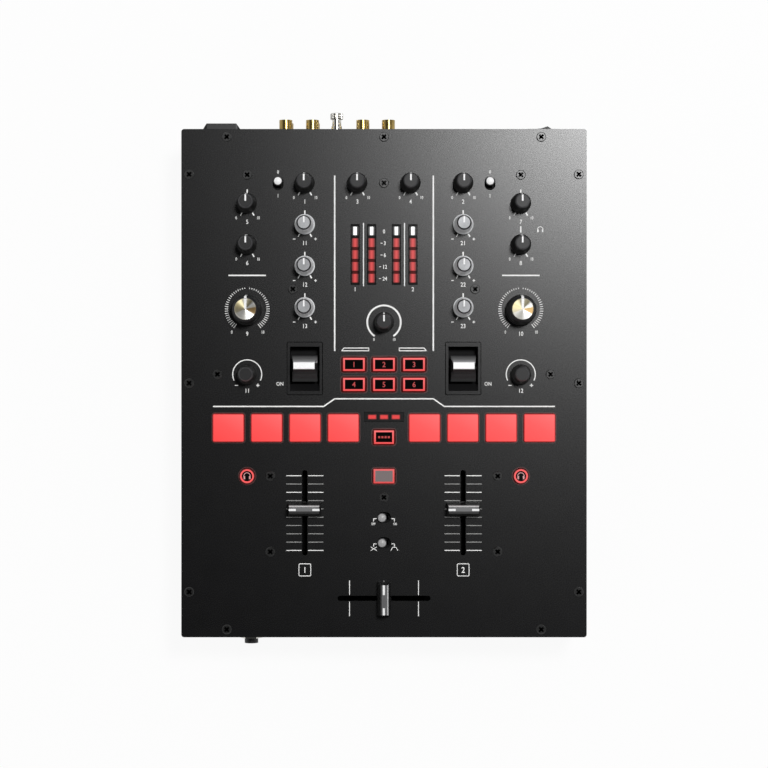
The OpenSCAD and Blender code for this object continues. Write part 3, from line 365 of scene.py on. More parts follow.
# A pad's sides are painted darker towards the gap, a painted shade.
pad_edge_painted_shade = graded("red silicone edge with a painted shade", [(0.0, "#140303"), (0.7, "#8A2020")], (0.4, 0.5), bump=0.12,
                  Emission_Color=colour("#E03030"), Emission_Strength=0.5)
lit(pad_edge_painted_shade, share=ramp(pad_edge_painted_shade, height(pad_edge_painted_shade), [(0.0, "#181818"), (0.7, "#FFFFFF")]))
halo_acrylic = glowing("red light spilling past a rim", "#180303", "#8A0C0C", 0.14, (0.4, 0.5))
lit_print = glowing("red light through a clear mark", "#5A1010", "#FF4646", 0.36, (0.3, 0.4))
pale_print = glowing("pale light through a clear mark", "#B08080", "#FFC0C0", 0.22, (0.3, 0.4))
smoked = grained("smoked acrylic", "#020202", "#050505", 0.9, 0.03, (0.25, 0.35), shine=0.08)

# %% [markdown]
# ## Lit frames on the keys
# A key's rim is clear acrylic over a red lamp. It is brightest along the middle of the rim and
# fades to dark red at the outer edge, where the light leaves sideways. That is drawn by how far a
# point is from the frame. The rear bar of each frame is painted paler than the front one, a
# painted highlight.

# %% Frames and rings of light
RIM = (-1.15, -0.95, -0.1, 0.15, 0.8)


def framed(name, half_x, half_y, middle_y, face, pitch=None, strength=0.62):
    """A lit frame, by half its outer size in mm. pitch repeats it for keys that stand in rows."""
    mat = glowing(name, face, "#FF4E4E", strength, (0.3, 0.4), shine=0.02)
    x, y, _ = panel_place(mat)
    y = maths(mat, "SUBTRACT", y, middle_y)
    if pitch:
        x = maths(mat, "WRAP", x, pitch[0] / 2, -pitch[0] / 2)
        y = maths(mat, "WRAP", y, pitch[1] / 2, -pitch[1] / 2)
    past_x = maths(mat, "SUBTRACT", maths(mat, "ABSOLUTE", x), half_x)
    past_y = maths(mat, "SUBTRACT", maths(mat, "ABSOLUTE", y), half_y)
    past = maths(mat, "MAXIMUM", past_x, past_y)
    body = ramp(mat, past, list(zip(RIM, (face, "#BC5656", "#B44C4C", "#240505", "#1A0303"))))
    share = ramp(mat, past, list(zip(RIM, ("#000000", "#FFFFFF", "#E8E8E8", "#5E5E5E", "#4A4A4A"))))
    shade(mat, Base_Color=body)
    # The light is painted paler towards the rear bar, a painted highlight.
    return lit(mat, ramp(mat, y, [(-half_y, "#E83A3A"), (half_y, "#FF7C7C")]), share)


def ringed(name, axis_x, axis_y):
    """A lit ring round an axis, and round its mirror image on the other side of the panel."""
    mat = glowing(name, "#B04444", "#FF5858", 0.6, (0.3, 0.4), shine=0.3)
    away = away_from(mat, axis_x, axis_y, mirrored=True)
    body = ((2.9, "#200404"), (3.2, "#B04444"), (4.2, "#B04444"), (4.5, "#300606"), (5.0, "#180303"))
    share = ((2.9, "#202020"), (3.2, "#FFFFFF"), (4.2, "#FFFFFF"), (4.4, "#5A5A5A"), (5.0, "#303030"))
    shade(mat, Base_Color=ramp(mat, away, body))
    return lit(mat, share=ramp(mat, away, share))


fx_frame = framed("red acrylic frame, effect keys", 6.75, 4.05, KEY_Y[0], "#030202",
                  (KEY_X, KEY_Y[0] - KEY_Y[1]))
mode_frame = framed("red acrylic frame, mode key", 6.2, 4.2, MODE_Y, "#030202")
tap_frame = framed("red acrylic frame, tap key", 6.5, 4.5, CUE_Y, "#7E7474", strength=0.42)
cue_ring = ringed("red acrylic ring, cue keys", SIDE_X, CUE_Y)

# %% [markdown]
# ## Lamps behind smoked windows
# A meter's segments are light pipes. Each shows a bright middle that fades towards both sides,
# and some red light creeps through the window between them. The pipe nearest the rear is white.
# The three small lamps in front of the effect keys have red lenses in a window of their own.

# %% Light pipes
def off_meter(mat):
    """How far a point is from the middle line of the nearest meter, in mm."""
    x = maths(mat, "ABSOLUTE", across(mat))
    return maths(mat, "MINIMUM", *(off(mat, x, meter_x) for meter_x in METER_X))


meter_red = glowing("red light pipe", "#3A0A0A", "#FF3A3A", 0.62, (0.25, 0.35), shine=0.3)
lit(meter_red, ramp(meter_red, off_meter(meter_red),
                    [(0.2, "#FF5050"), (0.9, "#E03030"), (1.6, "#8A1414"), (2.1, "#4A0808")]))
meter_white = graded("white light pipe", [(0.9, "#F2F2F2"), (1.2, "#0A0A0A")], (0.25, 0.35), off_meter,
                     Emission_Color=colour("#FFFFFF"), Emission_Strength=0.4)
lit(meter_white, share=ramp(meter_white, off_meter(meter_white), [(0.9, "#FFFFFF"), (1.2, "#000000")]))

# The window's light stays near a meter's middle line and ends where the red pipes end
meter_window = glowing("smoked window over a meter", "#030303", "#FF3030", 0.3, (0.25, 0.35),
                       shine=0.08)
beside = ramp(meter_window, off_meter(meter_window), [(1.0, "#FFFFFF"), (2.1, "#000000")])
behind = ramp(meter_window, along(meter_window),
              [(62.4, "#000000"), (63.4, "#8A8A8A"), (90.6, "#8A8A8A"), (91.2, "#000000")])
lit(meter_window, share=maths(meter_window, "MULTIPLY", beside, behind))

# The three small lamps stand in a row across the panel
LAMP_Y, LAMP_PITCH = -21.2, 7.4
lamp_red = glowing("red lens over a lamp", "#701616", "#FF3A3A", 0.62, (0.25, 0.35))
in_row = maths(lamp_red, "WRAP", across(lamp_red), LAMP_PITCH / 2, -LAMP_PITCH / 2)
from_row = ramp(lamp_red, off(lamp_red, along(lamp_red), LAMP_Y), [(0.7, "#FFFFFF"), (1.5, "#404040")])
from_lamp = ramp(lamp_red, maths(lamp_red, "ABSOLUTE", in_row), [(1.8, "#FFFFFF"), (2.7, "#505050")])
lit(lamp_red, share=maths(lamp_red, "MULTIPLY", from_row, from_lamp))
lamp_window = grained("smoked acrylic over the lamps", "#0A0A0B", "#101011", 0.9, 0.03, (0.25, 0.35),
                      shine=0.2)
print(len(bpy.data.materials), "finishes in all")


# %% [markdown]
# ## Giving each face its finish
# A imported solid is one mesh, but a real knob has a dark side, a satin top and a white pointer.
# The solids have clean edges between those, so each face can be given a finish by where it lies
# and which way it points. Only the faces' material numbers change, never the mesh.

# %% Finishes by face
def dress(node, rule, *finishes):
    """Puts finishes on a solid. rule(middle of face, normal) gives the number of its finish."""
    mesh = nodes[node].data
    mesh.materials.clear()
    for finish in finishes:
        mesh.materials.append(finish)
    for face in mesh.polygons:
        face.material_index = rule(face.center, face.normal) if rule else 0


for node, finish in {
    "top_panel": powder_coat, "case_tub": case_coat, "feet": rubber,
    "ground_screw": nickel, "loop_shaft_1": plated_steel, "loop_shaft_2": plated_steel,
    "power_rocker": pbt_black,
}.items():
    dress(node, None, finish)


def is_fader(at, normal):
    """The faders' frames stand on the front third of the board, where there are no pots."""
    return 1 if at.y < on_panel(0, -40).y else 0


def in_cup(at, normal):
    """A bezel's cup: all that lies below the panel, and the walls that rise from it."""
    return 1 if at.z < TOP or at.z < TOP + 0.5 * MM and normal.z < 0.9 else 0


# The fader frames, which show only through the slots, get the near-black painted shade.
dress("control_bodies", is_fader, plated_steel, shade_black)
dress("paddle_bezels", in_cup, abs_bezel, abs_cup)

# %% [markdown]
# ## Screws
# The cross recess of a screw head is always in its own shadow, so it is finished darker than the
# head. A face belongs to the recess if it is steep and just below the head's top, or lies at the
# depth of the recess's floor.

# %% Screw heads and their recesses
screw_top = top_of("panel_screws")


def in_recess(at, normal):
    wall = screw_top - 0.7 * MM < at.z < screw_top - 0.05 * MM and abs(normal.z) < 0.4
    return 1 if wall or abs(at.z - (screw_top - 0.6 * MM)) < 0.02 * MM else 0


dress("panel_screws", in_recess, black_steel, shade_black)

# %% [markdown]
# Trim on the heads needs the heads' middles. The top corners of the mesh fall into one group per
# head, and the middle of the box round a group is the middle of its head.

# %% Middles of the screw heads
def top_corners(node):
    """The corners of a solid that lie at its top."""
    top = top_of(node) - 0.05 * MM
    return [corner.co.copy() for corner in nodes[node].data.vertices if corner.co.z > top]


def middle_of(corners):
    """The middle of the box round some corners, in panel millimetres."""
    x, y = ((min(spot[i] for spot in corners) + max(spot[i] for spot in corners)) / 2 / MM for i in (0, 1))
    return x, y - SHIFT / MM


heads = []
for spot in top_corners("panel_screws"):
    same = [head for head in heads if (head[0] - spot).length < 6.5 * MM]
    if same:
        same[0].append(spot)
    else:
        heads.append([spot])
print(len(heads), "screw heads")


# %% [markdown]
# ## Knobs
# Every knob is a hollow moulding with a raised pointer. The pointer is the only part that stands
# above the round form, so a face is on it if it lies within half a millimetre of the knob's
# middle line, on the rear half, and outside the plain cone.

# %% Finding the pointer
def knob_parts(node, foot_r, top_r, skirt, roof):
    """A rule for a knob: 0 for the side, 1 for the top, 2 for the pointer, 3 for the rim."""
    axis = middle(node)
    foot = TOP + 0.8 * MM

    def rule(at, normal):
        along, across = at.y - axis.y, abs(at.x - axis.x)
        radius = math.hypot(at.x - axis.x, along)
        if at.z < foot - 0.1 * MM:
            return 0
        climb = (at.z - foot - skirt) / max(roof - 1.2 * MM - foot - skirt, MM)
        cone = (foot_r - 0.5 * MM) + (top_r + 0.2 * MM - foot_r + 0.5 * MM) * climb
        proud = at.z > roof + 0.04 * MM or radius > cone + 0.06 * MM
        if across < 0.53 * MM and along > -0.1 * MM and proud and at.z > foot + skirt - 0.01 * MM:
            return 2
        if normal.z > 0.9 and at.z > roof - 0.1 * MM:
            return 1
        return 3 if at.z > roof - 1.25 * MM and normal.z > 0.25 else 0

    return rule


BLACK_KNOBS = [name + "_knob" for name in ("booth", "master", "tone", "mic", "cue_mix", "phones", "fx")]
BLACK_KNOBS += ["gain_knob_1", "gain_knob_2"]
SILVER_KNOBS = [f"{tone}_knob_{i}" for tone in ("treble", "mid", "bass") for i in (1, 2)]
LOOP_KNOBS = ["loop_knob_1", "loop_knob_2"]
SMALL_KNOB = (6.3 * MM, 4.3 * MM, 2.2 * MM)     # radius at the foot and at the top, and the skirt
for knobs, roof, finishes in (
    (BLACK_KNOBS, 16.8, (abs_side, abs_top_painted_sheen, pointer_paint, abs_shoulder_painted_highlight)),
    (SILVER_KNOBS, 16.8, (silver_side_painted_sheen, silver_paint, pointer_paint, silver_shoulder_painted_shade)),
    (LOOP_KNOBS, 15.8, (abs_side, abs_top_painted_sheen, abs_top_painted_sheen, abs_shoulder_painted_highlight)),
):
    for node in knobs:
        dress(node, knob_parts(node, *SMALL_KNOB, TOP + roof * MM), *finishes)

# %% [markdown]
# ## The filter knobs' spun caps
# The caps are turned aluminium. Turning leaves fine rings, which send light out in fans across
# the disc, so such a cap shows pale and tan sectors. The sectors are painted highlights: tones that
# follow the angle round the axis, dimmed on the cap that faces the lamp, and the shader's
# anisotropy draws the highlight out the same way.
# Both need the knob's own axis, so each knob gets a finish centred on it.

# %% Spun aluminium, centred on a knob
# The tones of the painted highlights, by degrees round the axis.
HIGHLIGHT_FANS = [(-180, "#B5AA88"), (-158, "#CFC8B0"), (-148, "#F6F4EE"), (-100, "#DAD8D0"), (-70, "#FFFFFF"),
        (-34, "#F4F2EA"), (-24, "#8F7650"), (8, "#A58A5E"), (18, "#F2EFE4"), (36, "#FFFFFF"),
        (46, "#8E876C"), (72, "#B4AC92"), (88, "#F0EEE6"), (104, "#7E7966"), (122, "#C2B997"),
        (150, "#9C9270"), (180, "#B5AA88")]


def spun(name, axis, dull):
    """dull dims the painted highlights by that share, for the cap that faces the lamp."""
    mat = blank(name, Metallic=1.0, Anisotropic=0.6)
    place = add(mat, "TexCoord").outputs["Object"]
    centred = add(mat, "Mapping", {"Vector": place, "Location": (-axis.x, -axis.y, 0.0)})
    parts = add(mat, "SeparateXYZ", {0: centred.outputs[0]}).outputs
    angle = maths(mat, "DEGREES", maths(mat, "ARCTAN2", parts["Y"], parts["X"]))
    ragged = add(mat, "TexNoise", {"W": angle, "Scale": 0.12, "Detail": 3.0}, noise_dimensions="1D")
    start = maths(mat, "SUBTRACT", angle, 8.0)
    fans = ramp(mat, maths(mat, "MULTIPLY_ADD", ragged.outputs["Fac"], 16.0, start), HIGHLIGHT_FANS)
    tone = add(mat, "Mix", {0: dull, 6: fans, 7: colour("#000000")}, data_type="RGBA")
    rings = add(mat, "TexNoise", {"W": length(mat, centred.outputs[0]), "Scale": per(0.25)},
                noise_dimensions="1D")
    gloss = add(mat, "MapRange", {"Value": rings.outputs["Fac"], "To Min": 0.22, "To Max": 0.38})
    around = add(mat, "Tangent", direction_type="RADIAL", axis="Z")
    return shade(mat, Base_Color=tone.outputs[2], Roughness=gloss.outputs[0], Tangent=around.outputs[0])


def off_bar(mat):
    """How far a point is from the white bar that runs to the rear from a filter knob's axis."""
    x, y, _ = panel_place(mat)
    beside = off(mat, maths(mat, "ABSOLUTE", x), SIDE_X)
    return maths(mat, "MAXIMUM", beside, maths(mat, "SUBTRACT", FILTER_Y, y))


cap_bevel = graded("black ABS bevel with a white bar", [(0.75, "#F0F0F0"), (0.85, "#18181A")],
                   (0.36, 0.44), off_bar, shine=0.25)
FILTER_KNOB, FILTER_ROOF = (9.5 * MM, 7.9 * MM, 4.4 * MM), TOP + 17.2 * MM
CAP_R, DISC_R, EDGE_R = 8.05 * MM, 6.5 * MM, 6.75 * MM
for node, dull in (("filter_knob_1", 0.0), ("filter_knob_2", 0.52)):
    cone = knob_parts(node, *FILTER_KNOB, FILTER_ROOF)
    axis = middle(node)

    def cap_first(at, normal, cone=cone, axis=axis):
        """The disc and the thin edge round it are bright, and the bevel outside them is black."""
        radius = math.hypot(at.x - axis.x, at.y - axis.y)
        if at.z > FILTER_ROOF - 1.5 * MM and radius < CAP_R:
            if radius < DISC_R and normal.z > 0.9:
                return 2
            return 3 if normal.z > 0 and radius < EDGE_R else 4
        return 1 if cone(at, normal) == 2 else 0

    disc = spun("spun aluminium with painted highlights " + node[-1], axis, dull)
    dress(node, cap_first, abs_side, pointer_paint, disc, nickel, cap_bevel)

# %% [markdown]
# ## Pads, lit buttons and lamps
# A pad has one finish on its top and another on its sides. A key has its frame's finish above the
# panel and a dull dark red on the stem below it, and a cue key is a red ring round a smoked disc.

# %% Pads and buttons
def pad_faces(at, normal):
    return 0 if normal.z > 0.9 and at.z > TOP else 1


for i in range(1, 9):
    dress(f"pad_{i}", pad_faces, pad_silicone, pad_edge_painted_shade)


def button_faces(at, normal):
    return 0 if at.z > TOP else 1


for node in [f"fx_button_{i}" for i in range(1, 7)]:
    dress(node, button_faces, fx_frame, halo_acrylic)
dress("pad_mode_button", button_faces, mode_frame, halo_acrylic)
dress("tap_button", button_faces, tap_frame, halo_acrylic)
for node in ("cue_button_1", "cue_button_2"):
    axis = middle(node)

    def ring_or_disc(at, normal, axis=axis):
        if at.z < TOP:
            return 2
        return 1 if math.hypot(at.x - axis.x, at.y - axis.y) < 3.25 * MM and normal.z > 0.5 else 0

    dress(node, ring_or_disc, cue_ring, smoked, halo_acrylic)

# %% [markdown]
# The meters are light pipes under smoked windows. The pipes stand a tenth of a millimetre above
# the windows, so height tells them apart, and the pipe nearest the rear of each meter is white.

# %% Meter windows and light pipes
pipe_top = top_of("meter_lamps")
white_from = on_panel(0, 91.0).y


def lamp_faces(at, normal):
    if at.y < on_panel(0, 0).y:
        return 3 if at.z < pipe_top - 0.05 * MM else 4
    if at.z < pipe_top - 0.05 * MM:
        return 0
    return 2 if at.y > white_from else 1


dress("meter_lamps", lamp_faces, meter_window, meter_red, meter_white, lamp_window, lamp_red)

# %% [markdown]
# ## Paddles, faders and switches
# A paddle is a black wedge with a white tip. Its slopes are painted lighter where they turn to the
# lamp, a painted sheen. A fader's cap is grey on its flat top, and its slope on the lamp's side is
# painted brighter upwards, a painted highlight. The slide switches have round white or grey caps
# with a painted shade round their edge. Each finish is found by height and direction.

# %% Paddles and caps
# The slopes' tone is painted along the panel, lighter near the tip, a painted sheen.
paddle_slope_painted_sheen = graded("black ABS paddle slopes with a painted sheen",
                      [(0.9, "#161616"), (3.0, "#262627"), (5.5, "#3A3A3B"), (7.8, "#2A2A2B"),
                       (8.7, "#101010"), (12.4, "#303030"), (12.9, "#C8C8CA"), (13.6, "#A0A0A2"),
                       (15.2, "#6E6E6F"), (17.4, "#2A2A2B")],
                      (0.3, 0.38), along, shine=0.4)
for node in ("paddle_1", "paddle_2"):
    tip_z = top_of(node)

    def paddle_faces(at, normal, tip_z=tip_z):
        if at.z < TOP or abs(normal.x) > 0.7:
            return 0
        if at.z > tip_z - 0.6 * MM and normal.z > 0.5:
            return 1
        return 2

    dress(node, paddle_faces, abs_side, abs_white_painted_glow, paddle_slope_painted_sheen)


def cap_with_painted_shade(name, node, face, edge):
    """A round cap with one tone on its face and a painted shade round its edge."""
    x, y = middle_of(top_corners(node))
    return graded(name, [(2.2, face), (2.5, edge)], (0.34, 0.42),
                  lambda mat: away_from(mat, x, y))


for nodes_alike, face, edge in ((("input_switch_1", "input_switch_2"), "#F6F6F6", "#2A2A2B"),
                                (("reverse_switch", "slope_switch"), "#A2A2A2", "#4A4A4B")):
    for node in nodes_alike:
        cap = cap_with_painted_shade("ABS cap of " + node, node, face, edge)
        dress(node, lambda at, normal: 0 if at.z > TOP - 1.5 * MM else 1, cap, pbt_black)

# %% [markdown]
# The fader caps' flat tops are painted dark at the end that lies in the shade, a painted shade: a
# channel fader's at the front, and the crossfader's at its left.

# %% Fader caps
cap_grey_painted_shade = graded("satin grey fader cap",
                  [(-81.1, "#0C0C0C"), (-79.8, "#161616"), (-79.4, "#6A6A6B"), (-76.7, "#6A6A6B")],
                  (0.32, 0.42), along, shine=0.5)
cross_grey_painted_shade = graded("satin grey crossfader cap",
                    [(-2.2, "#0C0C0C"), (-1.5, "#161616"), (-1.2, "#5A5A5B"), (2.2, "#5A5A5B")],
                    (0.32, 0.42), across, shine=0.5)
# The slope on the lamp's side is painted brighter upwards, a painted highlight.
cap_slope_painted_highlight = graded("fader cap slope with a painted highlight",
                   [(4.0, "#080808"), (8.3, "#161616"), (9.6, "#A8A8A9"), (11.6, "#E2E2E2")], (0.32, 0.42))
for node, top, way in (("channel_fader_1", cap_grey_painted_shade, 1), ("channel_fader_2", cap_grey_painted_shade, 1),
                       ("crossfader", cross_grey_painted_shade, 0)):
    cap_z = top_of(node)

    def cap_faces(at, normal, cap_z=cap_z, way=way):
        if at.z < TOP:
            return 2
        if at.z > cap_z - 0.3 * MM and normal.z > 0.9:
            return 1
        # The cap's other sides take the black side finish, a painted shade.
        return 3 if normal[way] > 0.25 else 0

    dress(node, cap_faces, abs_side, top, black_steel, cap_slope_painted_highlight)

# %% [markdown]
# ## Sockets
# All sockets are one node. Gold belongs to the phono shells only, which stand out of the rear
# wall in two rows. Round holes and pins are found by how far a face is from each socket's axis.

# %% Gold, nickel and black on the sockets
front_y, wall_y = (corner.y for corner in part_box("case_tub"))
phono_spots = [(x * MM, z * MM) for x in (-62.5, -45.5, -13.5, 2.8) for z in (37.5, 21.5)]
ground_spot = (-30.1 * MM, 37.5 * MM)
bore_spots = [(x * MM, 32.5 * MM) for x in (24.5, 50)]


def near(at, spots, radius):
    """Whether a face lies round one of the axes that run from the front to the rear."""
    return any(math.hypot(at.x - x, at.z - z) < radius for x, z in spots)


def board_faces(at, normal):
    """The phono blocks stand behind the rear wall, and their white insulators reach through it."""
    if near(at, phono_spots, 3.4 * MM) and at.y > wall_y - 1.6 * MM:
        return 2
    beside = any(abs(at.x - x) < 6.6 * MM for x, _ in phono_spots)
    return 1 if beside and at.y > wall_y - 15.6 * MM and 10 * MM < at.z < 41.2 * MM else 0


def pin_faces(at, normal):
    """The pins are nickel. They lie inside the sockets' bores."""
    return 1 if near(at, bore_spots, 6.2 * MM) and wall_y - 14 * MM < at.y < wall_y - 0.5 * MM else 0


dress("circuit_boards", board_faces, board_black, pbt_black, abs_white_painted_glow)
dress("balanced_sockets", pin_faces, pbt_black, nickel)


def socket_faces(at, normal):
    for x, z in phono_spots:
        away = math.hypot(at.x - x, at.z - z)
        if away < 4.7 * MM and at.y > wall_y - 1.6 * MM:
            return 1 if away > 3.2 * MM else 3
    ground = near(at, [ground_spot], 3.5 * MM) and at.y > wall_y - 0.1 * MM
    return 2 if ground or front_y - 3.2 * MM < at.y < front_y + 0.1 * MM else 0


dress("sockets", socket_faces, pbt_black, gold, nickel, abs_white_painted_glow)
print("dressed", sum(len(o.data.materials) > 0 for o in nodes.values()), "solids")


# %% [markdown]
# ## Making new pieces
# New pieces are bmesh work: strips start as a unit cube, and arcs as a small upright rectangle
# that is spun about a centre. One function closes a mesh, turns its faces outwards and lets it
# ride on a body.

# %% Strips and arcs
def set_down(x, y, z, turn):
    """A place on the panel, in panel millimetres, turned by degrees."""
    return Matrix.Translation(on_panel(x, y, z)) @ Matrix.Rotation(math.radians(turn), 4, "Z")


def strip(bm, x, y, wide, deep, turn=0.0, low=-0.02, high=0.03):
    """A flat bar on the panel, turned about its middle."""
    size = Matrix.Diagonal((wide * MM, deep * MM, (high - low) * MM, 1))
    bmesh.ops.create_cube(bm, size=1.0, matrix=set_down(x, y, (low + high) / 2, turn) @ size)


def line(bm, x1, y1, x2, y2, wide, **heights):
    """A strip from one point to another."""
    length, turn = math.hypot(x2 - x1, y2 - y1), math.degrees(math.atan2(y2 - y1, x2 - x1))
    strip(bm, (x1 + x2) / 2, (y1 + y2) / 2, length, wide, turn, **heights)


def arc(bm, x, y, radius, wide, start, sweep, low=-0.02, high=0.03):
    """A flat bar bent round a centre. Degrees run counter-clockwise from +X."""
    place = set_down(x, y, (low + high) / 2, start)
    upright = Matrix.Translation((radius * MM, 0, 0)) @ Matrix.Rotation(math.pi / 2, 4, "X")
    size = Matrix.Diagonal((wide * MM, (high - low) * MM, 1, 1))
    made = bmesh.ops.create_grid(bm, x_segments=1, y_segments=1, size=0.5, matrix=place @ upright @ size)
    corners = made["verts"]
    edges = list(dict.fromkeys(e for v in corners for e in v.link_edges))
    faces = list(dict.fromkeys(f for v in corners for f in v.link_faces))
    if sweep >= 360:
        bmesh.ops.delete(bm, geom=faces, context="FACES_ONLY")
        faces = []
    bmesh.ops.spin(bm, geom=corners + edges + faces, cent=on_panel(x, y), axis=(0, 0, 1),
                   angle=math.radians(min(sweep, 360)), steps=max(4, round(sweep / 7)),
                   use_duplicate=False, use_merge=sweep >= 360)


def piece(name, bm, finish, body, smooth=None):
    """Closes the mesh, points its faces outwards, and makes it an object that rides on a body."""
    bmesh.ops.remove_doubles(bm, verts=bm.verts, dist=1e-7)
    bmesh.ops.recalc_face_normals(bm, faces=bm.faces)
    mesh = bpy.data.meshes.new(name)
    bm.to_mesh(mesh)
    bm.free()
    if smooth:
        mesh.shade_smooth()
        mesh.set_sharp_from_angle(angle=math.radians(smooth))
    mesh.materials.append(finish)
    made = bpy.data.objects.new(name, mesh)
    scene.collection.objects.link(made)
    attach(made, body)
    print(name, len(mesh.polygons), "faces on", body)
    return made


# %% [markdown]
# ## Numerals
# Numbers start as a text curve with a little thickness. The curve is made a mesh at once, scaled
# to a height in millimetres and squeezed a little, as the narrow type on such panels is.

# %% Numbers and signs
def numerals(bm, text, x, y, tall, squeeze=0.86, low=-0.02, high=0.03, letter=0.0, bold=0.012):
    """Adds text to a mesh, centred at a point of the panel."""
    curve = bpy.data.curves.new("numerals", "FONT")
    curve.body, curve.align_x, curve.resolution_u = text, "CENTER", 3
    curve.extrude = (high - low) / 2 * MM
    curve.offset = bold
    curve.space_character = 1.0 + letter
    holder = bpy.data.objects.new("numerals", curve)
    scene.collection.objects.link(holder)
    mesh = bpy.data.meshes.new_from_object(holder)
    bpy.data.objects.remove(holder)
    cap_height = 0.7
    scale = tall * MM / cap_height
    place = Matrix.Translation(on_panel(x, y - tall / 2, (low + high) / 2))
    mesh.transform(place @ Matrix.Diagonal((scale * squeeze, scale, 1, 1)))
    bm.from_mesh(mesh)
    bpy.data.meshes.remove(mesh)


# %% [markdown]
# ## The printing on the panel: rulings
# The rulings divide the panel into its sections: two long lines beside the middle section, two
# beside the meters, two short ones over the filters, and one that steps round the effect keys,
# with two open boxes at their head.

# %% Section lines
marks = bmesh.new()
for side in SIDES:
    line(marks, side * 30.9, 20.1, side * 30.9, 130.1, 0.9)
    line(marks, side * 74.0, 67.5, side * 97.5, 67.5, 0.9)
    line(marks, side * 12.85, 60.7, side * 12.85, 100.4, 0.62)
    line(marks, side * 107.1, -14.6, side * 37.7, -14.6, 0.8)
    line(marks, side * 38.0, -14.75, side * 30.7, -9.65, 0.8)
    # The two open boxes that head the effect keys, slanted at their outer ends
    line(marks, side * 9.4, 22.0, side * 25.0, 22.0, 0.6)
    line(marks, side * 9.4, 20.3, side * 26.6, 20.3, 0.6)
    line(marks, side * 9.55, 20.1, side * 9.55, 22.2, 0.5)
    line(marks, side * 25.0, 22.1, side * 26.6, 20.2, 0.6)
line(marks, -31.1, -9.8, 31.1, -9.8, 0.8)

# %% [markdown]
# ## The printing on the panel: scales
# A small knob has two ticks at the ends of its travel, low on either side, the right one bolder.
# The silver knobs have a third tick at the top. Below each knob stands its number. A 0 and a 10
# mark the ends of its travel, or a minus and a plus if it is a silver one.

# %% Knob ticks and numbers
def ray_line(x, y, bearing, inner, outer, wide):
    """A tick that points away from a centre. Degrees run counter-clockwise from +X."""
    cos, sin = math.cos(math.radians(bearing)), math.sin(math.radians(bearing))
    line(marks, x + inner * cos, y + inner * sin, x + outer * cos, y + outer * sin, wide)


def sign(text, x, y, size, wide):
    """A minus, or a plus."""
    strip(marks, x, y, size, wide)
    if text == "+":
        strip(marks, x, y, wide, size)


def knob_marks(x, y, number, ends=("0", "10")):
    for side, wide in zip(SIDES, (0.45, 0.85)):
        ray_line(x, y, -90 + side * 29, 6.7, 8.8, wide)
    numerals(marks, number, x, y - 11.6, 2.6, letter=0.05)
    for side, text in zip(SIDES, ends):
        if text in "-+":
            sign(text, x + side * 6.7, y - 9.1, 1.6, 0.5)
        else:
            numerals(marks, text, x + side * 6.9, y - 9.1, 1.9, 0.75)


for i, side in enumerate(SIDES):
    knob_marks(side * CHANNEL_X, KNOB_Y, f"{i + 1}")
    for row in range(3):
        y = 99.4 - 26 * row
        knob_marks(side * CHANNEL_X, y, f"{i + 1}{row + 1}", ("-", "+"))
        strip(marks, side * CHANNEL_X, y + 7.5, 0.8, 2.8)
    strip(marks, side * SIDE_X, 112.7 + 7.6, 0.8, 2.2)
spots = [(-16.65, KNOB_Y), (16.65, KNOB_Y)] + [(side * SIDE_X, y) for side in SIDES for y in (112.7, 86.9)]
for i, (x, y) in enumerate(spots):
    knob_marks(x, y, f"{i + 3}")
strip(marks, SIDE_X, 96.3, 0.8, 3.9)

# %% [markdown]
# The filter knobs have a ring of fine ticks that grow longer towards the ends of the travel, and
# the effect knob and the loop knobs have plain arcs. The ticks stand every 6.2 degrees.

# %% Rings round the large knobs
for i, side in enumerate(SIDES):
    x = side * SIDE_X
    for k in (*range(-23, 0), *range(1, 24)):
        away = k * 6.2
        ray_line(x, FILTER_Y, 90 - away, 13.4 - 2.3 * abs(away) / 144, 14.1, 0.42)
    numerals(marks, f"{9 + i}", x, 31.0, 2.6)
    for end, text in zip(SIDES, ("0", "10")):
        numerals(marks, text, x + end * 9.7, 32.0, 1.9, 0.75)
    arc(marks, x, LOOP_Y, 9.1, 0.65, -25, 230)
    for end, text in zip(SIDES, "-+"):
        sign(text, x + end * 6.7, -1.4, 2.1, 0.6)
    numerals(marks, f"{11 + i}", x, -4.7, 2.6)
arc(marks, 0, 38.2, 10.5, 1.1, -56, 292)
for end, text in zip(SIDES, ("0", "10")):
    numerals(marks, text, end * 6.3, 27.4, 1.8, 0.75)

# %% [markdown]
# ## The printing on the panel: meters, faders and switches
# The meters have a scale in decibels between them and the channel numbers below. The faders have
# ten ruled lines, some bright and some faint, which the slot interrupts.

# %% Meter scale
numerals(marks, "0", 0, 95.1, 2.4)
for value, y in zip(("3", "6", "12", "24"), (87.7, 80.3, 72.9, 65.5)):
    numerals(marks, value, 0.5, y, 2.4)
    strip(marks, -0.6 - 0.93 * len(value), y, 1.3, 0.4)
for i, side in enumerate(SIDES):
    numerals(marks, f"{i + 1}", side * METER_X[1], 58.9, 2.6)

# %% Fader rulings and channel numbers
def corners(x, y, half_x, half_y):
    """For a frame's four corners: the degrees where the rounding starts, and its centre."""
    for start, right, rear in ((0, 1, 1), (90, -1, 1), (180, -1, -1), (270, 1, -1)):
        yield start, x + right * half_x, y + rear * half_y


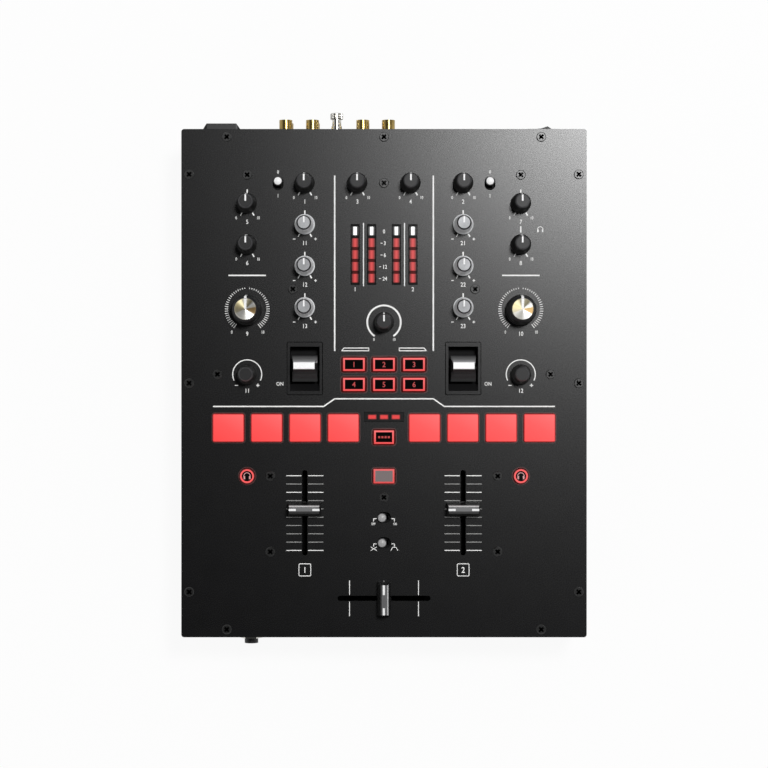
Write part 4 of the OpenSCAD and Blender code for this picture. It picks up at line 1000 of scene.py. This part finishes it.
faint = bmesh.new()
BOX_Y = -117.0
for i, side in enumerate(SIDES):
    x = side * CHANNEL_X
    for k in range(10):
        target = marks if k in (0, 2, 9) else faint
        y = -58.0 - 5.2 * k
        for half in SIDES:
            line(target, x + half * 2.1, y, x + half * 11.65, y, 0.52)
    for half in SIDES:
        line(marks, x + half * 3.7, BOX_Y - 3, x + half * 3.7, BOX_Y + 3, 0.45)
        line(marks, x - 2.9, BOX_Y + half * 3.8, x + 2.9, BOX_Y + half * 3.8, 0.45)
    for start, corner_x, corner_y in corners(x, BOX_Y, 2.9, 3.0):
        arc(marks, corner_x, corner_y, 0.8, 0.45, start, 90)
    numerals(marks, f"{i + 1}", x, BOX_Y, 3.6)
for x, target in ((-21.6, marks), (0, faint), (21.6, marks)):
    for half in SIDES:
        line(target, x, CROSS_Y + half * 2.1, x, CROSS_Y + half * 11.2, 0.48)

# %% [markdown]
# Beside the paddles and the switches stand ON, OFF, 0 and 1, and the brackets and curves that
# show which way a small switch goes.

# %% Switch marks
for side in SIDES:
    numerals(marks, "ON", side * 65.2, -0.4, 2.3, letter=0.05)
    numerals(marks, "0", side * 66.4, 132.4, 2.0)
    numerals(marks, "1", side * 66.4, 117.4, 2.2)
for y in (-84.2, -100.0):
    for end in SIDES:
        line(marks, end * 4.7, y - 0.7, end * 6.7, y - 0.7, 0.5)
        line(marks, end * 6.5, y - 0.5, end * 6.5, y - 2.4, 0.5)
numerals(marks, "OFF", -6.7, -88.2, 1.5, 0.7)
numerals(marks, "ON", 6.9, -88.2, 1.5, 0.7)
for ends in ((-8.3, -102.6, -4.5, -104.9), (-8.3, -104.9, -4.5, -102.6), (4.3, -104.9, 5.4, -102.9),
             (5.3, -102.9, 7.7, -102.9), (7.6, -102.9, 8.7, -104.9)):
    line(marks, *ends, 0.4)

# %% [markdown]
# The last of the printing is a headphone sign between the two knobs on the right. After it the
# marks become pieces. The cue keys get the same sign later.

# %% Headphone signs
def headphones(bm, x, y, size, **heights):
    """A band over two ear pads."""
    arc(bm, x, y, size, size * 0.22, 0, 180, **heights)
    for end in SIDES:
        strip(bm, x + end * size * 0.85, y - size * 0.5, size * 0.5, size, **heights)


headphones(marks, 97.9, 96.3, 1.7)
piece("panel_printing", marks, ink, "mixer")
piece("panel_printing_faint", faint, dim_ink, "mixer")

# %% [markdown]
# ## Light round the pads and keys
# Each lit part sits in a cut-out, and a little of its light spills onto the edge of the panel.
# A thin dark-red lip round every cut-out stands for that spill.

# %% Lips of light
def lip(bm, x, y, wide, deep, radius, rim=0.55):
    """A thin rounded frame round a cut-out."""
    for end in SIDES:
        strip(bm, x, y + end * (deep + rim) / 2, wide - 2 * radius, rim, high=0.04)
        strip(bm, x + end * (wide + rim) / 2, y, rim, deep - 2 * radius, high=0.04)
    for start, corner_x, corner_y in corners(x, y, wide / 2 - radius, deep / 2 - radius):
        arc(bm, corner_x, corner_y, radius + rim / 2, rim, start, 90, high=0.04)


spill = bmesh.new()
for side in SIDES:
    for k in range(4):
        lip(spill, side * (PAD_X + PAD_PITCH * k), PAD_Y, 20.2, 18.2, 1.6)
for x in (-KEY_X, 0, KEY_X):
    for y in KEY_Y:
        lip(spill, x, y, 16.2, 10.0, 1.6)
for y in (MODE_Y, CUE_Y):
    lip(spill, 0, y, 14.6, 10.2, 1.6)
for side in SIDES:
    arc(spill, side * SIDE_X, CUE_Y, 5.45, 0.5, 0, 360, high=0.04)
piece("light_spill", spill, halo_acrylic, "mixer")

# %% [markdown]
# The crossfader's slot runs a little past its fader's travel at both ends. The ends are a black
# sheet on the panel, painted shade for the dark inside of the open slot.

# %% Ends of the crossfader's slot
ends = bmesh.new()
for side in SIDES:
    line(ends, side * 25.4, CROSS_Y, side * 27.6, CROSS_Y, 3.2, high=0.02)
    arc(ends, side * 27.6, CROSS_Y, 0.8, 1.6, -90 * side, 180, high=0.02)
piece("crossfader_slot_end_shade", ends, shade_black, "mixer")

# %% [markdown]
# A paddle's bezel drops into its cut-out from above. The shadow gap round its rim is a thin dark
# frame.

# %% Shadow gaps round the bezels
gaps = bmesh.new()
for side in SIDES:
    lip(gaps, side * CHANNEL_X, PADDLE_Y, 21.8, 32.6, 0.6, rim=0.4)
piece("bezel_gaps", gaps, shade_black, "mixer")

# %% [markdown]
# The cross in a screw head looks wider and darker than its recess. A thin black cross on each head
# adds that as painted shade.

# %% Painted shade on the screw heads' crosses
cross_shade = bmesh.new()
HEAD = (screw_top - TOP) / MM
for head in heads:
    for turn in (45, 135):
        strip(cross_shade, *middle_of(head), 3.7, 1.2, turn, low=HEAD - 0.03, high=HEAD + 0.02)
piece("screw_cross_shade", cross_shade, shade_black, "mixer")

# %% [markdown]
# ## Skirts of the paddles
# A finger rests on the paddle's slopes, which sweep out in a shallow curve from the tip to the
# cup. The solid under them is narrower, so a thin skirt gives the slopes their full sweep. It
# follows the paddle's own taper, and swings inside the cup with it.

# %% Swept slopes
def swept(foot, tip, steps=8):
    """Points of a hollow curve from a foot to a tip, each in mm along the panel and up."""
    bend = (tip[0] + (foot[0] - tip[0]) * 0.42, tip[1] + (foot[1] - tip[1]) * 0.78)
    return [[(1 - t) ** 2 * a + 2 * t * (1 - t) * b + t * t * c for a, b, c in zip(foot, bend, tip)]
            for t in (k / steps for k in range(steps + 1))]


outline = swept((0.95, -0.4), (8.72, 12.42)) + swept((17.4, -0.8), (12.88, 12.42))[::-1]
outline += [(17.4, -1.6), (0.95, -1.2)]
for i, side in enumerate(SIDES):
    skirt = bmesh.new()
    rings = []
    for end in SIDES:
        half = [7.88 - 1.3 * max(up - 2, 0) / 11 for _, up in outline]
        rings.append([skirt.verts.new(on_panel(side * CHANNEL_X + end * wide, y, up))
                      for wide, (y, up) in zip(half, outline)])
        skirt.faces.new(rings[-1])
    for a, b in zip(range(len(outline)), [*range(1, len(outline)), 0]):
        skirt.faces.new((rings[0][a], rings[0][b], rings[1][b], rings[1][a]))
    bmesh.ops.triangulate(skirt, faces=[face for face in skirt.faces if len(face.verts) > 4])
    piece(f"paddle_skirt_{i + 1}", skirt, paddle_slope_painted_sheen, f"paddle_{i + 1}", smooth=40)

# %% [markdown]
# ## Marks on the keys
# The effect keys are numbered 1 to 6. The marks are clear in the black face, so the lamp shows
# through them in red. Each rides on its own key and goes down with it. The cue keys carry a
# small headphone sign.

# %% Lit marks
def on_face(node, below=0.0):
    """Heights for a thin mark on a solid's top, or on a face that lies below it."""
    face = (top_of(node) - TOP) / MM - below
    return {"low": face - 0.02, "high": face + 0.03}


on_key, on_disc = on_face("fx_button_1"), on_face("cue_button_1", 0.4)
for k in range(6):
    mark = bmesh.new()
    numerals(mark, f"{k + 1}", KEY_X * (k % 3 - 1), KEY_Y[k // 3], 3.2, 0.95, **on_key)
    piece(f"key_number_{k + 1}", mark, lit_print, f"fx_button_{k + 1}")

mark = bmesh.new()
for k in range(4):
    strip(mark, -3 + 2 * k, MODE_Y, 1.3, 1.3, **on_key)
piece("mode_sign", mark, lit_print, "pad_mode_button")
for i, side in enumerate(SIDES):
    mark = bmesh.new()
    headphones(mark, side * SIDE_X, CUE_Y + 0.1, 2.0, **on_disc)
    piece(f"cue_sign_{i + 1}", mark, pale_print, f"cue_button_{i + 1}")

# %% [markdown]
# ## Stripes on the fader caps
# A channel fader's cap has a white dash at either end of its flat top, so that the level can be
# read against the ruling. The crossfader has the same two dashes along its middle.

# %% Fader stripes
on_cap = on_face("channel_fader_1")
for i, side in enumerate(SIDES):
    stripes = bmesh.new()
    for half in SIDES:
        strip(stripes, side * CHANNEL_X + half * 7.3, -78.7, 4.4, 1.3, **on_cap)
    piece(f"fader_stripes_{i + 1}", stripes, pointer_paint, f"channel_fader_{i + 1}")
stripes = bmesh.new()
for half, long in zip(SIDES, (4.4, 6.0)):
    strip(stripes, -0.1, CROSS_Y + half * (9.3 - long / 2), 1.3, long, **on_cap)
piece("crossfader_dashes", stripes, pointer_paint, "crossfader")

# %% [markdown]
# ## The filter knobs' pointer
# The white bar on a filter knob runs from the middle of its disc over the bevel, where it is part
# of the finish. On the disc it is a thin inlay that stands a hair above the metal.

# %% Filter pointers
for i, side in enumerate(SIDES):
    bar = bmesh.new()
    strip(bar, side * SIDE_X, FILTER_Y + 3.3, 1.5, 6.2, low=17.78, high=17.84)
    piece(f"filter_pointer_{i + 1}", bar, pointer_paint, f"filter_knob_{i + 1}")

# %% [markdown]
# ## The studio
# The mixer lies on a large white sweep. The sheet is mostly its own white to the camera and to
# reflections, with enough of a plain lit surface left to keep the object's shadow.

# %% Floor
floor_bm = bmesh.new()
bmesh.ops.create_grid(floor_bm, x_segments=2, y_segments=2, size=6.0)
floor_mesh = bpy.data.meshes.new("floor")
floor_bm.to_mesh(floor_mesh)
floor_bm.free()
floor = bpy.data.objects.new("floor", floor_mesh)
scene.collection.objects.link(floor)

paper = bpy.data.materials.new("white paper sweep")
paper.use_nodes = True
paper.node_tree.nodes.clear()
ray = add(paper, "LightPath").outputs
seen = maths(paper, "MAXIMUM", ray["Is Camera Ray"], ray["Is Glossy Ray"])
seen = maths(paper, "MAXIMUM", seen, ray["Is Transmission Ray"])
share = maths(paper, "MULTIPLY", seen, 0.93)
own = add(paper, "Emission", {"Color": (1, 1, 1, 1), "Strength": 1.0})
sheet = add(paper, "BsdfDiffuse", {"Color": colour("#EDEDED")})
both = add(paper, "MixShader", {0: share, 1: sheet.outputs[0], 2: own.outputs[0]})
add(paper, "OutputMaterial", {"Surface": both.outputs[0]})
floor_mesh.materials.append(paper)

# %% [markdown]
# One softbox stands high over the rear right corner. A satin black panel shows it as a glow that
# fades across the panel, which is what tells the eye that the panel is flat and satin. The room
# is white at the horizon and dark overhead, so the panel stays black where it faces the ceiling.

# %% Softbox and room
AIM = Vector((0.03, 0.04, 0.05))
lamp = bpy.data.objects.new("key softbox", bpy.data.lights.new("key softbox", "AREA"))
lamp.data.shape, lamp.data.size, lamp.data.energy = "SQUARE", 0.40, 34.0
lamp.location = (0.47, 0.58, 2.2)
lamp.rotation_euler = (AIM - lamp.location).to_track_quat("-Z", "Y").to_euler()
lamp.visible_camera = False
scene.collection.objects.link(lamp)

room = bpy.data.worlds.new("studio")
room.use_nodes = True
scene.world = room
room.node_tree.nodes.clear()
ray = add(room, "LightPath").outputs
way = add(room, "SeparateXYZ", {0: add(room, "TexCoord").outputs["Generated"]})
ceiling = add(room, "MapRange", {"Value": way.outputs["Z"], "From Min": 0.25, "From Max": 0.8,
                                 "To Min": 1.0, "To Max": 0.06})
level = maths(room, "MAXIMUM", ceiling.outputs[0], ray["Is Camera Ray"])
light = add(room, "Background", {"Color": (1, 1, 1, 1), "Strength": level})
add(room, "OutputWorld", {"Surface": light.outputs[0]})
scene.view_settings.view_transform = "Standard"
print("one softbox and a room")
